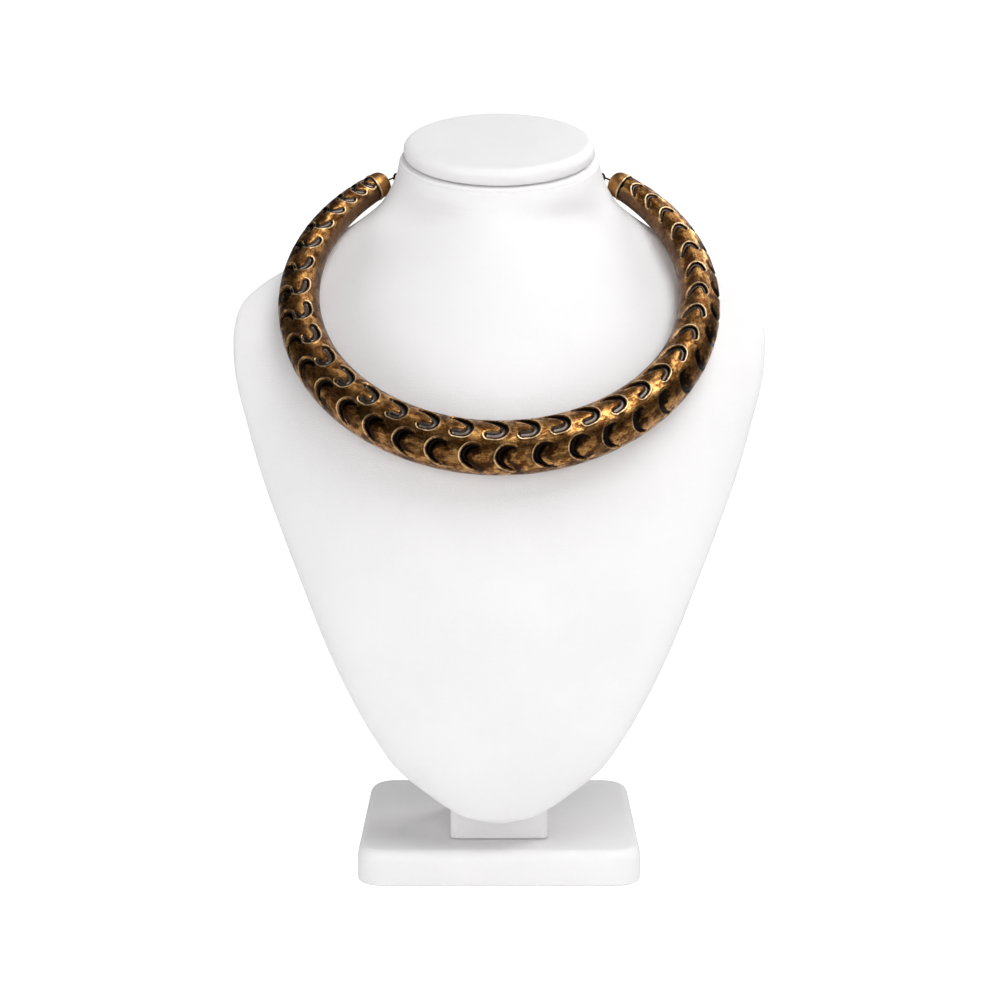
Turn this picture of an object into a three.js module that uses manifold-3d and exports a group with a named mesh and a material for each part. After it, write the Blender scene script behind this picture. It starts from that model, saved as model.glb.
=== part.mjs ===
// Collar choker necklace on a plain neck bust display stand.
// Millimetres, +Z up, the front faces -Y. The origin is on the ground, under the middle of the whole.
import * as THREE from "three";
import { mergeVertices } from "three/addons/utils/BufferGeometryUtils.js";
import Module from "manifold-3d";

const wasm = await Module();
wasm.setup();

// Driving dimensions: stand
const BASE_WIDTH = 108;
const BASE_DEPTH = 100;
const BASE_THICKNESS = 13.5;
const BASE_CORNER = 10;
const BASE_TOP_ROUND = 4.2;
const BASE_FOOT_ROUND = 1.2;
const POST_WIDTH = 37.5;
const POST_DEPTH = 45;
const POST_CORNER = 3;
const POST_SETBACK = 15.5;
const SOCKET_COVER = 4;

// Driving dimensions: bust
const BUST_WIDTH = 206.4;
const BUST_DEPTH = 120;
const BUST_HEIGHT = 247.9;
const TIP_LIFT = 11.6;
const BUST_OVERHANG = 9;
const NECK_TILT = THREE.MathUtils.degToRad(21.4);
const NECK_CAP_INSET = 1.5;
const NECK_CAP_THICKNESS = 6.8;
const NECK_CAP_ROUND = 3.6;

// Driving dimensions: collar
const COLLAR_WIDTH = 152.2;
const COLLAR_LOOP_DEPTH = 146.6;
const COLLAR_TILT = THREE.MathUtils.degToRad(46.2);
const COLLAR_FRONT_RADIUS = 9.9;
const COLLAR_END_RADIUS = 5.2;
const COLLAR_WALL = 0.8;
const COLLAR_HANG = 105.1;
const NECK_SIDE_ROOM = 1.7;

// Driving dimensions: crescent relief
const CRESCENT_PITCH = 12.3;
const CRESCENT_CROWDING = 1.9;
const CRESCENT_DEPTH = 1.5;
const RIM_HEIGHT = 0.2;

// Driving dimensions: end caps, chain and clasp
const CAP_LENGTH = 6.6;
const CAP_WALL = 0.5;
const CAP_BEAD = 0.25;
const CAP_BORE_DEPTH = 3.4;
const PLUG_RADIUS = 4.2;
const STEM_LENGTH = 6;
const STEM_RADIUS = 0.38;
const STEM_RISE = 1.2;
const STEM_SINK = 1;
const EYE_RADIUS = 1.5;
const EYE_WIRE = 0.45;
const LINK_LENGTH = 7.4;
const LINK_WIDTH = 4.4;
const LINK_WIRE = 0.55;
const CLASP_LENGTH = 12;
const CLASP_WIDTH = 5;
const CLASP_THICKNESS = 1.3;
const CLASP_HOLE = 1.25;

// Clearances between pieces
const SEAT_GAP = 0.3;
const LINK_PLAY = 0.25;
const CHAIN_GAP = 0.35;

// Mesh fineness
const BUST_POINTS = 8;
const TUBE_STEPS_PER_CRESCENT = 6;
const RELIEF_COLUMNS = 13;
const PLAIN_COLUMNS = 7;
const BORE_STEPS = 26;
const BORE_SIDES = 9;
const PLAIN_STRIDE = 3;

// Bust sections from the tip up. rise is a share of BUST_HEIGHT, half of half the width, and front, edge,
// back and rim (the thickness at the sides) are shares of BUST_DEPTH counted from the front. corner is how
// square the ends are (2 is an ellipse), and bell turns a plain bow into a neck between shoulders.
const BUST_SECTIONS = [
  { rise: 0.0, half: 0.034, front: 0.067, edge: 0.086, back: 0.104, rim: 0.037, corner: 2.0, bell: 0 },
  { rise: 0.0065, half: 0.109, front: 0.047, edge: 0.087, back: 0.127, rim: 0.078, corner: 2.4, bell: 0 },
  { rise: 0.022, half: 0.186, front: 0.03, edge: 0.089, back: 0.143, rim: 0.107, corner: 3.4, bell: 0 },
  { rise: 0.044, half: 0.261, front: 0.019, edge: 0.092, back: 0.156, rim: 0.122, corner: 5, bell: 0 },
  { rise: 0.079, half: 0.366, front: 0.008, edge: 0.098, back: 0.175, rim: 0.13, corner: 7, bell: 0 },
  { rise: 0.125, half: 0.45, front: 0.0025, edge: 0.11, back: 0.208, rim: 0.133, corner: 9, bell: 0 },
  { rise: 0.185, half: 0.536, front: 0.0, edge: 0.132, back: 0.275, rim: 0.133, corner: 10, bell: 0 },
  { rise: 0.258, half: 0.624, front: 0.0017, edge: 0.163, back: 0.367, rim: 0.133, corner: 10, bell: 0 },
  { rise: 0.346, half: 0.714, front: 0.011, edge: 0.213, back: 0.483, rim: 0.133, corner: 10, bell: 0 },
  { rise: 0.433, half: 0.802, front: 0.03, edge: 0.279, back: 0.583, rim: 0.133, corner: 10, bell: 0 },
  { rise: 0.521, half: 0.887, front: 0.056, edge: 0.358, back: 0.675, rim: 0.133, corner: 9.5, bell: 0 },
  { rise: 0.595, half: 0.944, front: 0.092, edge: 0.421, back: 0.75, rim: 0.133, corner: 9, bell: 0.1 },
  { rise: 0.656, half: 0.986, front: 0.138, edge: 0.471, back: 0.8, rim: 0.133, corner: 8, bell: 0.35 },
  { rise: 0.7045, half: 1.0, front: 0.187, edge: 0.512, back: 0.842, rim: 0.138, corner: 7, bell: 0.6 },
  { rise: 0.741, half: 0.997, front: 0.229, edge: 0.548, back: 0.871, rim: 0.135, corner: 6, bell: 0.8 },
  { rise: 0.778, half: 0.961, front: 0.275, edge: 0.59, back: 0.9, rim: 0.13, corner: 5, bell: 0.95 },
  { rise: 0.8055, half: 0.884, front: 0.308, edge: 0.622, back: 0.919, rim: 0.13, corner: 4.2, bell: 1 },
  { rise: 0.832, half: 0.777, front: 0.335, edge: 0.65, back: 0.938, rim: 0.135, corner: 3.5, bell: 1 },
  { rise: 0.8687, half: 0.657, front: 0.367, edge: 0.68, back: 0.958, rim: 0.17, corner: 2.9, bell: 1 },
  { rise: 0.901, half: 0.534, front: 0.387, edge: 0.693, back: 0.978, rim: 0.26, corner: 2.5, bell: 1 },
  { rise: 0.9256, half: 0.457, front: 0.397, edge: 0.698, back: 0.99, rim: 0.38, corner: 2.2, bell: 1 },
  { rise: 0.9495, half: 0.417, front: 0.402, edge: 0.7, back: 0.997, rim: 0.5, corner: 2.05, bell: 1 },
  { rise: 0.974, half: 0.392, front: 0.403, edge: 0.7015, back: 1.0, rim: 0.597, corner: 2, bell: 1 },
  { rise: 1.0, half: 0.379, front: 0.403, edge: 0.7015, back: 1.0, rim: 0.597, corner: 2, bell: 1 },
];

// The two rows of crescents. centre and span are section angles in degrees from the outward side, at the
// front and at the ends of the tube. phase is where the apex falls in a pitch, length is a share of the
// pitch, and facing is +1 where the apex leads to the right end.
const CRESCENT_ROWS = [
  { centre: [99, 106], span: [29, 36], phase: 0.3, length: 0.56, depth: 0.85, facing: 1 },
  { centre: [37, 52], span: [42, 34], phase: -0.14, length: 0.6, depth: 1.25, facing: -1 },
];
const RELIEF_FROM = -12;
const RELIEF_TO = 148;

const { clamp, lerp, smoothstep, degToRad } = THREE.MathUtils;

// Mesh helpers

// One closed body from rings of points that go round anticlockwise as seen from the last ring.
function loft(rings) {
  const count = rings[0].length;
  const points = rings.flat();
  const faces = [];
  for (let k = 0; k + 1 < rings.length; k++) {
    for (let i = 0; i < count; i++) {
      const a = k * count + i;
      const b = k * count + ((i + 1) % count);
      faces.push(a, b, b + count, a, b + count, a + count);
    }
  }
  closeEnd(points, faces, rings[0].map((_, i) => count - 1 - i));
  const top = (rings.length - 1) * count;
  closeEnd(points, faces, rings[0].map((_, i) => top + i));
  return geometryOf(points, faces);
}

// Closes a ring of point numbers with triangles round its middle.
function closeEnd(points, faces, ring) {
  const middle = new THREE.Vector3();
  ring.forEach((i) => middle.add(points[i]));
  points.push(middle.divideScalar(ring.length));
  ring.forEach((i, k) => faces.push(i, ring[(k + 1) % ring.length], points.length - 1));
}

function geometryOf(points, faces) {
  const geometry = new THREE.BufferGeometry().setFromPoints(points);
  geometry.setIndex(faces);
  geometry.computeVertexNormals();
  return geometry;
}

// A closed geometry as a solid that can be joined and cut.
function solidOf(geometry) {
  const bare = geometry.clone();
  bare.deleteAttribute("normal");
  bare.deleteAttribute("uv");
  const merged = mergeVertices(bare, 1e-3);
  return new wasm.Manifold(
    new wasm.Mesh({
      numProp: 3,
      vertProperties: merged.attributes.position.array,
      triVerts: new Uint32Array(merged.index.array),
    }),
  );
}

function geometryFromSolid(solid) {
  const mesh = solid.getMesh();
  const geometry = new THREE.BufferGeometry();
  geometry.setAttribute("position", new THREE.BufferAttribute(mesh.vertProperties, 3));
  geometry.setIndex(new THREE.BufferAttribute(mesh.triVerts, 1));
  geometry.computeVertexNormals();
  return geometry;
}

function cut(geometry, ...tools) {
  return geometryFromSolid(tools.reduce((solid, tool) => solid.subtract(solidOf(tool)), solidOf(geometry)));
}

function join(geometry, ...others) {
  return geometryFromSolid(others.reduce((solid, other) => solid.add(solidOf(other)), solidOf(geometry)));
}

// A rounded rectangle as a ring of points at one height, drawn in by an inset.
function roundedRing(width, depth, corner, inset, z) {
  const round = Math.max(corner - inset, 0.2);
  const ring = [];
  const steps = 6;
  for (let quarter = 0; quarter < 4; quarter++) {
    const turn = (quarter * Math.PI) / 2;
    const sx = Math.cos(turn + Math.PI / 4) > 0 ? 1 : -1;
    const sy = Math.sin(turn + Math.PI / 4) > 0 ? 1 : -1;
    for (let i = 0; i <= steps; i++) {
      const angle = turn + (i / steps) * (Math.PI / 2);
      const x = sx * (width / 2 - inset - round) + round * Math.cos(angle);
      const y = sy * (depth / 2 - inset - round) + round * Math.sin(angle);
      ring.push(new THREE.Vector3(x, y, z));
    }
  }
  return ring;
}

// Insets and heights of a quarter round between a flat face and a side.
function quarterRound(radius, steps) {
  return Array.from({ length: steps + 1 }, (_, i) => {
    const angle = (i / steps) * (Math.PI / 2);
    return { inset: radius * (1 - Math.sin(angle)), rise: radius * (1 - Math.cos(angle)) };
  });
}

// Stand

function baseGeometry() {
  const ringAt = (inset, z) => roundedRing(BASE_WIDTH, BASE_DEPTH, BASE_CORNER, inset, z);
  const foot = quarterRound(BASE_FOOT_ROUND, 3).map((q) => ringAt(q.inset, q.rise));
  const top = quarterRound(BASE_TOP_ROUND, 5).map((q) => ringAt(q.inset, BASE_THICKNESS - q.rise));
  return loft([...foot, ...top.reverse()]);
}

const BASE_FRONT = -BASE_DEPTH / 2;
const POST_MIDDLE = BASE_FRONT + POST_SETBACK + POST_DEPTH / 2;
const POST_BOTTOM = BASE_THICKNESS + SEAT_GAP;
const TIP_HEIGHT = BASE_THICKNESS + TIP_LIFT;
const BUST_FRONT = BASE_FRONT - BUST_OVERHANG;

// Height at which the middle of the bust's back reaches a depth, so that the post's top is all inside it.
function backHeightAt(y) {
  let rise = 0.1;
  while (rise < 1 && sectionAt(rise).back < y) {
    rise += 0.002;
  }
  return TIP_HEIGHT + rise * BUST_HEIGHT;
}

function postGeometry(grown, extra) {
  const width = POST_WIDTH + 2 * grown;
  const depth = POST_DEPTH + 2 * grown;
  const top = POST_TOP + extra;
  const rings = [POST_BOTTOM, top].map((z) => roundedRing(width, depth, POST_CORNER + grown, 0, z));
  return loft(rings).translate(0, POST_MIDDLE, 0);
}

// Bust

const COLUMNS = ["half", "front", "edge", "back", "rim", "corner", "bell"];
const sections = new THREE.CubicInterpolant(
  BUST_SECTIONS.map((row) => row.rise),
  BUST_SECTIONS.flatMap((row) => COLUMNS.map((name) => row[name])),
  COLUMNS.length,
);

// The bust's section at a share of its height, in millimetres.
function sectionAt(rise) {
  const [half, front, edge, back, rim, corner, bell] = sections.evaluate(clamp(rise, 0, 1));
  return {
    z: TIP_HEIGHT + rise * BUST_HEIGHT,
    half: (half * BUST_WIDTH) / 2,
    front: BUST_FRONT + front * BUST_DEPTH,
    edge: BUST_FRONT + edge * BUST_DEPTH,
    back: BUST_FRONT + back * BUST_DEPTH,
    rim: rim * BUST_DEPTH,
    corner: Math.max(corner, 2),
    bell: clamp(bell, 0, 1),
    tilt: NECK_TILT * smoothstep(rise, 0.85, 1),
  };
}

// A point on the bust: across runs from -1 (left) to 1 (right), side is -1 on the front and 1 on the back.
function bustPoint(rise, across, side) {
  const s = sectionAt(rise);
  const spread = lerp(across * across, (1 - Math.cos(Math.PI * across)) / 2, s.bell);
  const front = lerp(s.front, s.edge - s.rim / 2, spread);
  const back = lerp(s.back, s.edge + s.rim / 2, spread);
  const thick = ((back - front) / 2) * Math.sqrt(Math.max(1 - Math.abs(across) ** s.corner, 0));
  const y = (front + back) / 2 + side * thick - s.edge;
  return new THREE.Vector3(
    across * s.half,
    s.edge + y * Math.cos(s.tilt),
    s.z + y * Math.sin(s.tilt),
  );
}

function bustRing(rise) {
  const ring = [];
  const acrossAt = (i) => Math.sign(i) * (1 - (1 - Math.abs(i) / BUST_POINTS) ** 2);
  for (let i = -BUST_POINTS; i <= BUST_POINTS; i++) {
    ring.push(bustPoint(rise, acrossAt(i), -1));
  }
  for (let i = BUST_POINTS - 1; i > -BUST_POINTS; i--) {
    ring.push(bustPoint(rise, acrossAt(i), 1));
  }
  return ring;
}

function bustGeometry() {
  const rises = BUST_SECTIONS.flatMap((row, i) => {
    const next = BUST_SECTIONS[i + 1];
    return next ? [row.rise, (row.rise + next.rise) / 2] : [row.rise];
  });
  const form = loft(rises.map(bustRing));
  return cut(form, postGeometry(SEAT_GAP, SEAT_GAP));
}

// The covered board on the neck: the top section of the neck, drawn in and lifted along its slope.
function neckCapGeometry() {
  const rim = sectionAt(1);
  const middleY = (rim.front + rim.back) / 2;
  const halfDepth = (rim.back - rim.front) / 2;
  const ringAt = (inset, lift) => {
    const ring = [];
    for (let i = 0; i < 32; i++) {
      const angle = (i / 32) * 2 * Math.PI;
      const x = (rim.half - NECK_CAP_INSET - inset) * Math.cos(angle);
      const y = (halfDepth - NECK_CAP_INSET - inset) * Math.sin(angle) + middleY - rim.edge;
      ring.push(
        new THREE.Vector3(
          x,
          rim.edge + y * Math.cos(rim.tilt) - lift * Math.sin(rim.tilt),
          rim.z + y * Math.sin(rim.tilt) + lift * Math.cos(rim.tilt),
        ),
      );
    }
    return ring;
  };
  const under = quarterRound(NECK_CAP_THICKNESS - NECK_CAP_ROUND - 0.6, 3);
  const over = quarterRound(NECK_CAP_ROUND, 5);
  const rings = under.map((q) => ringAt(q.inset, SEAT_GAP + q.rise));
  rings.push(...over.reverse().map((q) => ringAt(q.inset, SEAT_GAP + NECK_CAP_THICKNESS - q.rise)));
  return loft(rings);
}

const POST_TOP = backHeightAt(POST_MIDDLE + POST_DEPTH / 2) + SOCKET_COVER;

// Collar: its centre line is the greater part of an ellipse in one sloping plane, open behind the neck.

const SLOPE = new THREE.Vector3(0, Math.cos(COLLAR_TILT), Math.sin(COLLAR_TILT));
const PLANE_NORMAL = new THREE.Vector3(0, -Math.sin(COLLAR_TILT), Math.cos(COLLAR_TILT));
const COLLAR_FRONT_HEIGHT = TIP_HEIGHT + BUST_HEIGHT - COLLAR_HANG;

// A place on the collar's loop, measured from its front middle.
function loopPoint(angle) {
  const back = (COLLAR_LOOP_DEPTH / 2) * (1 - Math.cos(angle));
  return new THREE.Vector3((COLLAR_WIDTH / 2) * Math.sin(angle), 0, 0).addScaledVector(SLOPE, back);
}

// Half-width of the neck at one height, beside the collar's ends.
function neckHalfAt(height) {
  return sectionAt((height - TIP_HEIGHT) / BUST_HEIGHT).half;
}

// How far round the loop the tube goes before its cap would come too near the neck.
function endAngle() {
  let angle = degToRad(170);
  const tooNear = (a) => {
    const p = loopPoint(a);
    return p.x < neckHalfAt(COLLAR_FRONT_HEIGHT + p.z) + COLLAR_END_RADIUS + NECK_SIDE_ROOM;
  };
  while (angle > degToRad(110) && tooNear(angle)) {
    angle -= degToRad(0.1);
  }
  return angle;
}

function centreLine(shift) {
  const points = [];
  const steps = 96;
  for (let i = -steps; i <= steps; i++) {
    points.push(loopPoint((i / steps) * END_ANGLE).add(shift));
  }
  const curve = new THREE.CatmullRomCurve3(points);
  curve.arcLengthDivisions = 1200;
  return curve;
}

// Tube radius at a share of the half length, 0 in front and 1 at either lip.
function tubeRadius(share) {
  return lerp(COLLAR_END_RADIUS, COLLAR_FRONT_RADIUS, Math.cos((Math.PI / 2) * Math.min(share, 1)));
}

// How far forward the collar has to be to lie on the chest: it rests where it first touches.
function restingShift() {
  let y = Infinity;
  for (let degrees = 0; degrees <= 130; degrees += 2) {
    const angle = degToRad(degrees);
    const p = loopPoint(angle);
    const radius = tubeRadius(angle / END_ANGLE) + RIM_HEIGHT + SEAT_GAP;
    for (let rise = 0.45; rise < 0.97; rise += 0.006) {
      for (let across = 0; across < 1; across += 0.02) {
        const q = bustPoint(rise, across, -1);
        const off = Math.hypot(q.x - p.x, q.z - COLLAR_FRONT_HEIGHT - p.z);
        if (off < radius) {
          y = Math.min(y, q.y - Math.sqrt(radius ** 2 - off ** 2) - p.y);
        }
      }
    }
  }
  return y;
}

const END_ANGLE = endAngle();
const LOOP_SHIFT = new THREE.Vector3(0, restingShift(), COLLAR_FRONT_HEIGHT);
const CENTRE_LINE = centreLine(LOOP_SHIFT);
const HALF_LENGTH = CENTRE_LINE.getLength() / 2;
const PLUG_LENGTH = CAP_BORE_DEPTH - SEAT_GAP;

// Crescents counted from the front middle to a place along the tube, closer together towards the ends.
function crescentsTo(along) {
  const share = Math.abs(along) / HALF_LENGTH;
  return Math.sign(along) * (Math.abs(along) / CRESCENT_PITCH + CRESCENT_CROWDING * share ** 8);
}

// The place along the tube of a crescent count.
function alongAt(count) {
  let low = 0;
  let high = HALF_LENGTH + PLUG_LENGTH;
  for (let i = 0; i < 40; i++) {
    const middle = (low + high) / 2;
    if (crescentsTo(middle) < Math.abs(count)) {
      low = middle;
    } else {
      high = middle;
    }
  }
  return Math.sign(count) * low;
}

// One row's relief over the plain tube: a curved groove round a tongue that stays flush, with a raised rim.
function gouge(row, along, angle, share) {
  const across = (angle - lerp(row.centre[0], row.centre[1], share)) / lerp(row.span[0], row.span[1], share);
  const beyond = THREE.MathUtils.euclideanModulo((along - row.phase) * row.facing, 1);
  return [beyond, beyond - 1].reduce((height, past) => {
    const lengthwise = 1 + past / row.length;
    const inside = 1 - Math.hypot(lengthwise, across);
    const turn = Math.abs(Math.atan2(across, lengthwise)) / Math.PI;
    const groove = smoothstep(inside, 0, 0.17) * (1 - smoothstep(inside, 0.32, 0.8));
    const rim = Math.exp(-(((inside + 0.06) / 0.07) ** 2));
    const tail = 1 - smoothstep(turn, 0.5, 0.72);
    return height + tail * (rim * RIM_HEIGHT - groove * row.depth * CRESCENT_DEPTH);
  }, 0);
}

function reliefAt(count, angle, share) {
  const size = lerp(1, COLLAR_END_RADIUS / COLLAR_FRONT_RADIUS, share);
  return CRESCENT_ROWS.reduce((sum, row) => sum + size * gouge(row, count, angle, share), 0);
}

// A point on the tube's skin, or on the bore where the relief is left out.
function tubePoint(along, radius, angle) {
  const reach = clamp(0.5 + along / (2 * HALF_LENGTH), 0, 1);
  const tangent = CENTRE_LINE.getTangentAt(reach);
  const outward = new THREE.Vector3().crossVectors(tangent, PLANE_NORMAL).normalize();
  const point = CENTRE_LINE.getPointAt(reach);
  point.addScaledVector(tangent, along - (reach - 0.5) * 2 * HALF_LENGTH);
  point.addScaledVector(outward, radius * Math.cos(degToRad(angle)));
  return point.addScaledVector(PLANE_NORMAL, radius * Math.sin(degToRad(angle)));
}

function skinPoint(place, angle) {
  const share = Math.min(Math.abs(place.along) / HALF_LENGTH, 1);
  const radius = place.plug ? PLUG_RADIUS : tubeRadius(share) + reliefAt(place.count, angle, share);
  return tubePoint(place.along, radius, angle);
}

// Places of the rings of points: even in crescents along the tube, then a step down to a plug at each end.
function ringPlaces() {
  const lip = crescentsTo(HALF_LENGTH - SEAT_GAP);
  const steps = PLAIN_STRIDE * Math.round((lip * TUBE_STEPS_PER_CRESCENT) / PLAIN_STRIDE);
  const tube = [];
  for (let i = -steps; i <= steps; i++) {
    const count = (i / steps) * lip;
    tube.push({ along: alongAt(count), count, plug: false });
  }
  const plug = [HALF_LENGTH - SEAT_GAP, HALF_LENGTH + PLUG_LENGTH].map((along) => ({ along, plug: true }));
  const start = plug.map(({ along }) => ({ along: -along, plug: true })).reverse();
  return [...start, ...tube, ...plug];
}

// The outer skin: fine columns over the relief, and coarse ones on the plain side, closed at both ends.
function skinGeometry() {
  const places = ringPlaces();
  const last = places.length - 1;
  const points = [];
  const isCoarse = (i) => i < 2 || i > last - 2 || (i - 2) % PLAIN_STRIDE === 0;
  const number = places.map((place, i) => {
    const row = [];
    for (let j = 0; j <= RELIEF_COLUMNS; j++) {
      row.push(points.push(skinPoint(place, lerp(RELIEF_FROM, RELIEF_TO, j / RELIEF_COLUMNS))) - 1);
    }
    for (let j = 1; isCoarse(i) && j < PLAIN_COLUMNS; j++) {
      row.push(points.push(skinPoint(place, lerp(RELIEF_TO, RELIEF_FROM + 360, j / PLAIN_COLUMNS))) - 1);
    }
    return row;
  });
  const faces = [];
  for (let i = 0; i < last; i++) {
    for (let j = 0; j < RELIEF_COLUMNS; j++) {
      const [a, b] = [number[i][j], number[i][j + 1]];
      const [c, d] = [number[i + 1][j + 1], number[i + 1][j]];
      faces.push(a, c, b, a, d, c);
    }
  }
  const coarse = places.map((_, i) => i).filter(isCoarse);
  for (let k = 0; k + 1 < coarse.length; k++) {
    plainFaces(faces, number, coarse[k], coarse[k + 1]);
  }
  closeEnd(points, faces, number[0]);
  closeEnd(points, faces, [...number[last]].reverse());
  return geometryOf(points, faces);
}

// Faces of the plain side between two coarse rings, with fans to the fine columns on both sides.
function plainFaces(faces, number, from, to) {
  const [near, far] = [number[from], number[to]];
  const width = near.length;
  for (let j = RELIEF_COLUMNS + 1; j + 1 < width; j++) {
    faces.push(near[j], far[j + 1], near[j + 1], near[j], far[j], far[j + 1]);
  }
  const half = Math.floor((from + to) / 2);
  for (let i = from; i < to; i++) {
    const anchor = i < half || to - from === 1 ? from : to;
    const edge = number[anchor];
    faces.push(number[i][RELIEF_COLUMNS], number[i + 1][RELIEF_COLUMNS], edge[RELIEF_COLUMNS + 1]);
    faces.push(number[i + 1][0], number[i][0], edge[width - 1]);
  }
  const turn = to - from === 1 ? to : half;
  faces.push(number[turn][RELIEF_COLUMNS], far[RELIEF_COLUMNS + 1], near[RELIEF_COLUMNS + 1]);
  faces.push(number[turn][0], near[width - 1], far[width - 1]);
}

// The bore of the hollow tube, clear of the deepest pits and open at both ends.
function boreGeometry() {
  const deepest = COLLAR_WALL + CRESCENT_DEPTH * Math.max(...CRESCENT_ROWS.map((row) => row.depth));
  const end = HALF_LENGTH + PLUG_LENGTH + 1;
  const rings = [];
  for (let i = -BORE_STEPS; i <= BORE_STEPS; i++) {
    const along = (i / BORE_STEPS) * end;
    const share = Math.min(Math.abs(along) / HALF_LENGTH, 1);
    const skin = tubeRadius(share) - deepest * lerp(1, COLLAR_END_RADIUS / COLLAR_FRONT_RADIUS, share);
    const radius = share > 0.95 ? Math.min(skin, PLUG_RADIUS - COLLAR_WALL) : skin;
    const angles = Array.from({ length: BORE_SIDES }, (_, j) => (-360 * j) / BORE_SIDES);
    rings.push(angles.map((angle) => tubePoint(along, radius, angle)));
  }
  return loft(rings);
}

function collarGeometry() {
  return cut(skinGeometry(), boreGeometry());
}

// End caps, chain and clasp: the right half is made and then mirrored to the left

const UP = new THREE.Vector3(0, 0, 1);
const LIP = CENTRE_LINE.getPointAt(1);
const LIP_DIRECTION = CENTRE_LINE.getTangentAt(1);
const CAP_END = LIP.clone().addScaledVector(LIP_DIRECTION, CAP_LENGTH);
const LINK_REACH = LINK_LENGTH / 2 - LINK_WIRE;
const LINK_MAX_PITCH = LINK_LENGTH - 4 * LINK_WIRE - LINK_PLAY;
const HOLE_FROM_MIDDLE = CLASP_LENGTH / 2 - CLASP_HOLE - 1;

// Moves a geometry so that its own x and y axes point as given.
function placed(geometry, origin, xAxis, yAxis) {
  const basis = new THREE.Matrix4().makeBasis(xAxis, yAxis, xAxis.clone().cross(yAxis));
  return geometry.applyMatrix4(basis.setPosition(origin));
}

function mirrored(geometry) {
  const copy = geometry.clone().scale(-1, 1, 1);
  const index = Array.from(copy.index.array);
  for (let i = 0; i < index.length; i += 3) {
    [index[i], index[i + 1]] = [index[i + 1], index[i]];
  }
  copy.setIndex(index);
  copy.computeVertexNormals();
  return copy;
}

// A cup with a rolled lip, open at y = 0 and closed at y = CAP_LENGTH.
function capCup() {
  const bore = PLUG_RADIUS + SEAT_GAP;
  const side = bore + CAP_WALL;
  const profile = [
    [0, CAP_BORE_DEPTH],
    [bore, CAP_BORE_DEPTH],
    [bore, 0],
    [side + CAP_BEAD * 0.5, 0],
    [side + CAP_BEAD, 0.3],
    [side + CAP_BEAD, 0.7],
    [side, 1],
    [side * 0.9, CAP_LENGTH * 0.55],
    [side * 0.74, CAP_LENGTH * 0.84],
    [side * 0.56, CAP_LENGTH * 0.96],
    [side * 0.36, CAP_LENGTH],
    [0, CAP_LENGTH],
  ];
  return new THREE.LatheGeometry(profile.map(([radius, y]) => new THREE.Vector2(radius, y)), 18);
}

// The back of the neck at one height: across runs from 1 (right) round to -1 (left).
function neckPointAt(height, across) {
  let low = 0.8;
  let high = 1;
  for (let i = 0; i < 24; i++) {
    const middle = (low + high) / 2;
    if (bustPoint(middle, across, 1).z < height) {
      low = middle;
    } else {
      high = middle;
    }
  }
  return bustPoint(low, across, 1);
}

// The chain's level way round the back of the neck, from the right cap's eye to the left one's.
function chainLine() {
  const steps = 60;
  const neck = Array.from({ length: steps + 1 }, (_, i) =>
    neckPointAt(CAP_END.z + STEM_RISE, Math.cos((i / steps) * Math.PI)),
  );
  const line = neck.map((p, i) => {
    const along = neck[Math.min(i + 1, steps)].clone().sub(neck[Math.max(i - 1, 0)]);
    return p.clone().addScaledVector(along.cross(UP).normalize(), LINK_WIDTH / 2 + CHAIN_GAP);
  });
  const first = line.findIndex((p) => p.y > CAP_END.y && p.distanceTo(CAP_END) > STEM_LENGTH);
  return new THREE.CatmullRomCurve3(line.slice(first, steps + 1 - first));
}

const CHAIN_LINE = chainLine();

// The middle and direction of a link at a distance along the chain.
function linkPlace(along) {
  const share = along / CHAIN_LINE.getLength();
  return { middle: CHAIN_LINE.getPointAt(share), way: CHAIN_LINE.getTangentAt(share) };
}

// A cup with a stem and an eye, which stands upright round the near end of the first link.
function rightCapGeometry() {
  const { middle, way } = linkPlace(LINK_REACH);
  const eyeMiddle = middle.addScaledVector(way, -LINK_REACH);
  const stemEnd = eyeMiddle.clone().addScaledVector(way, -EYE_RADIUS);
  const stemWay = stemEnd.clone().sub(CAP_END).normalize();
  const length = stemEnd.distanceTo(CAP_END);
  const stem = new THREE.CylinderGeometry(STEM_RADIUS, STEM_RADIUS, length + STEM_SINK, 8);
  const stemMiddle = CAP_END.clone().addScaledVector(stemWay, (length - STEM_SINK) / 2);
  const cup = placed(capCup(), LIP, PLANE_NORMAL, LIP_DIRECTION);
  placed(stem, stemMiddle, stemWay.clone().cross(UP).normalize(), stemWay);
  const eye = placed(new THREE.TorusGeometry(EYE_RADIUS, EYE_WIRE, 6, 12), eyeMiddle, way, UP);
  return join(cup, stem, eye);
}

// One link, long along x and wide along y.
function linkGeometry() {
  const link = new THREE.TorusGeometry(LINK_WIDTH / 2 - LINK_WIRE, LINK_WIRE, 5, 12).rotateZ(Math.PI / 12);
  const place = link.attributes.position;
  for (let i = 0; i < place.count; i++) {
    place.setX(i, place.getX(i) + (Math.sign(place.getX(i)) * (LINK_LENGTH - LINK_WIDTH)) / 2);
  }
  return link;
}

// Links from the eye to the clasp: the first and last stand out from the neck, the others turn by turns.
function rightLinks() {
  const total = CHAIN_LINE.getLength();
  const run = total / 2 - HOLE_FROM_MIDDLE - 2 * LINK_REACH;
  const gaps = 2 * Math.ceil(run / LINK_MAX_PITCH / 2);
  return Array.from({ length: gaps + 1 }, (_, k) => {
    const { middle, way } = linkPlace(LINK_REACH + (k * run) / gaps);
    const side = way.clone().cross(UP).normalize();
    const wide = k % 2 === 0 ? side : side.clone().cross(way);
    return placed(linkGeometry(), middle, way, wide);
  });
}

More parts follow.
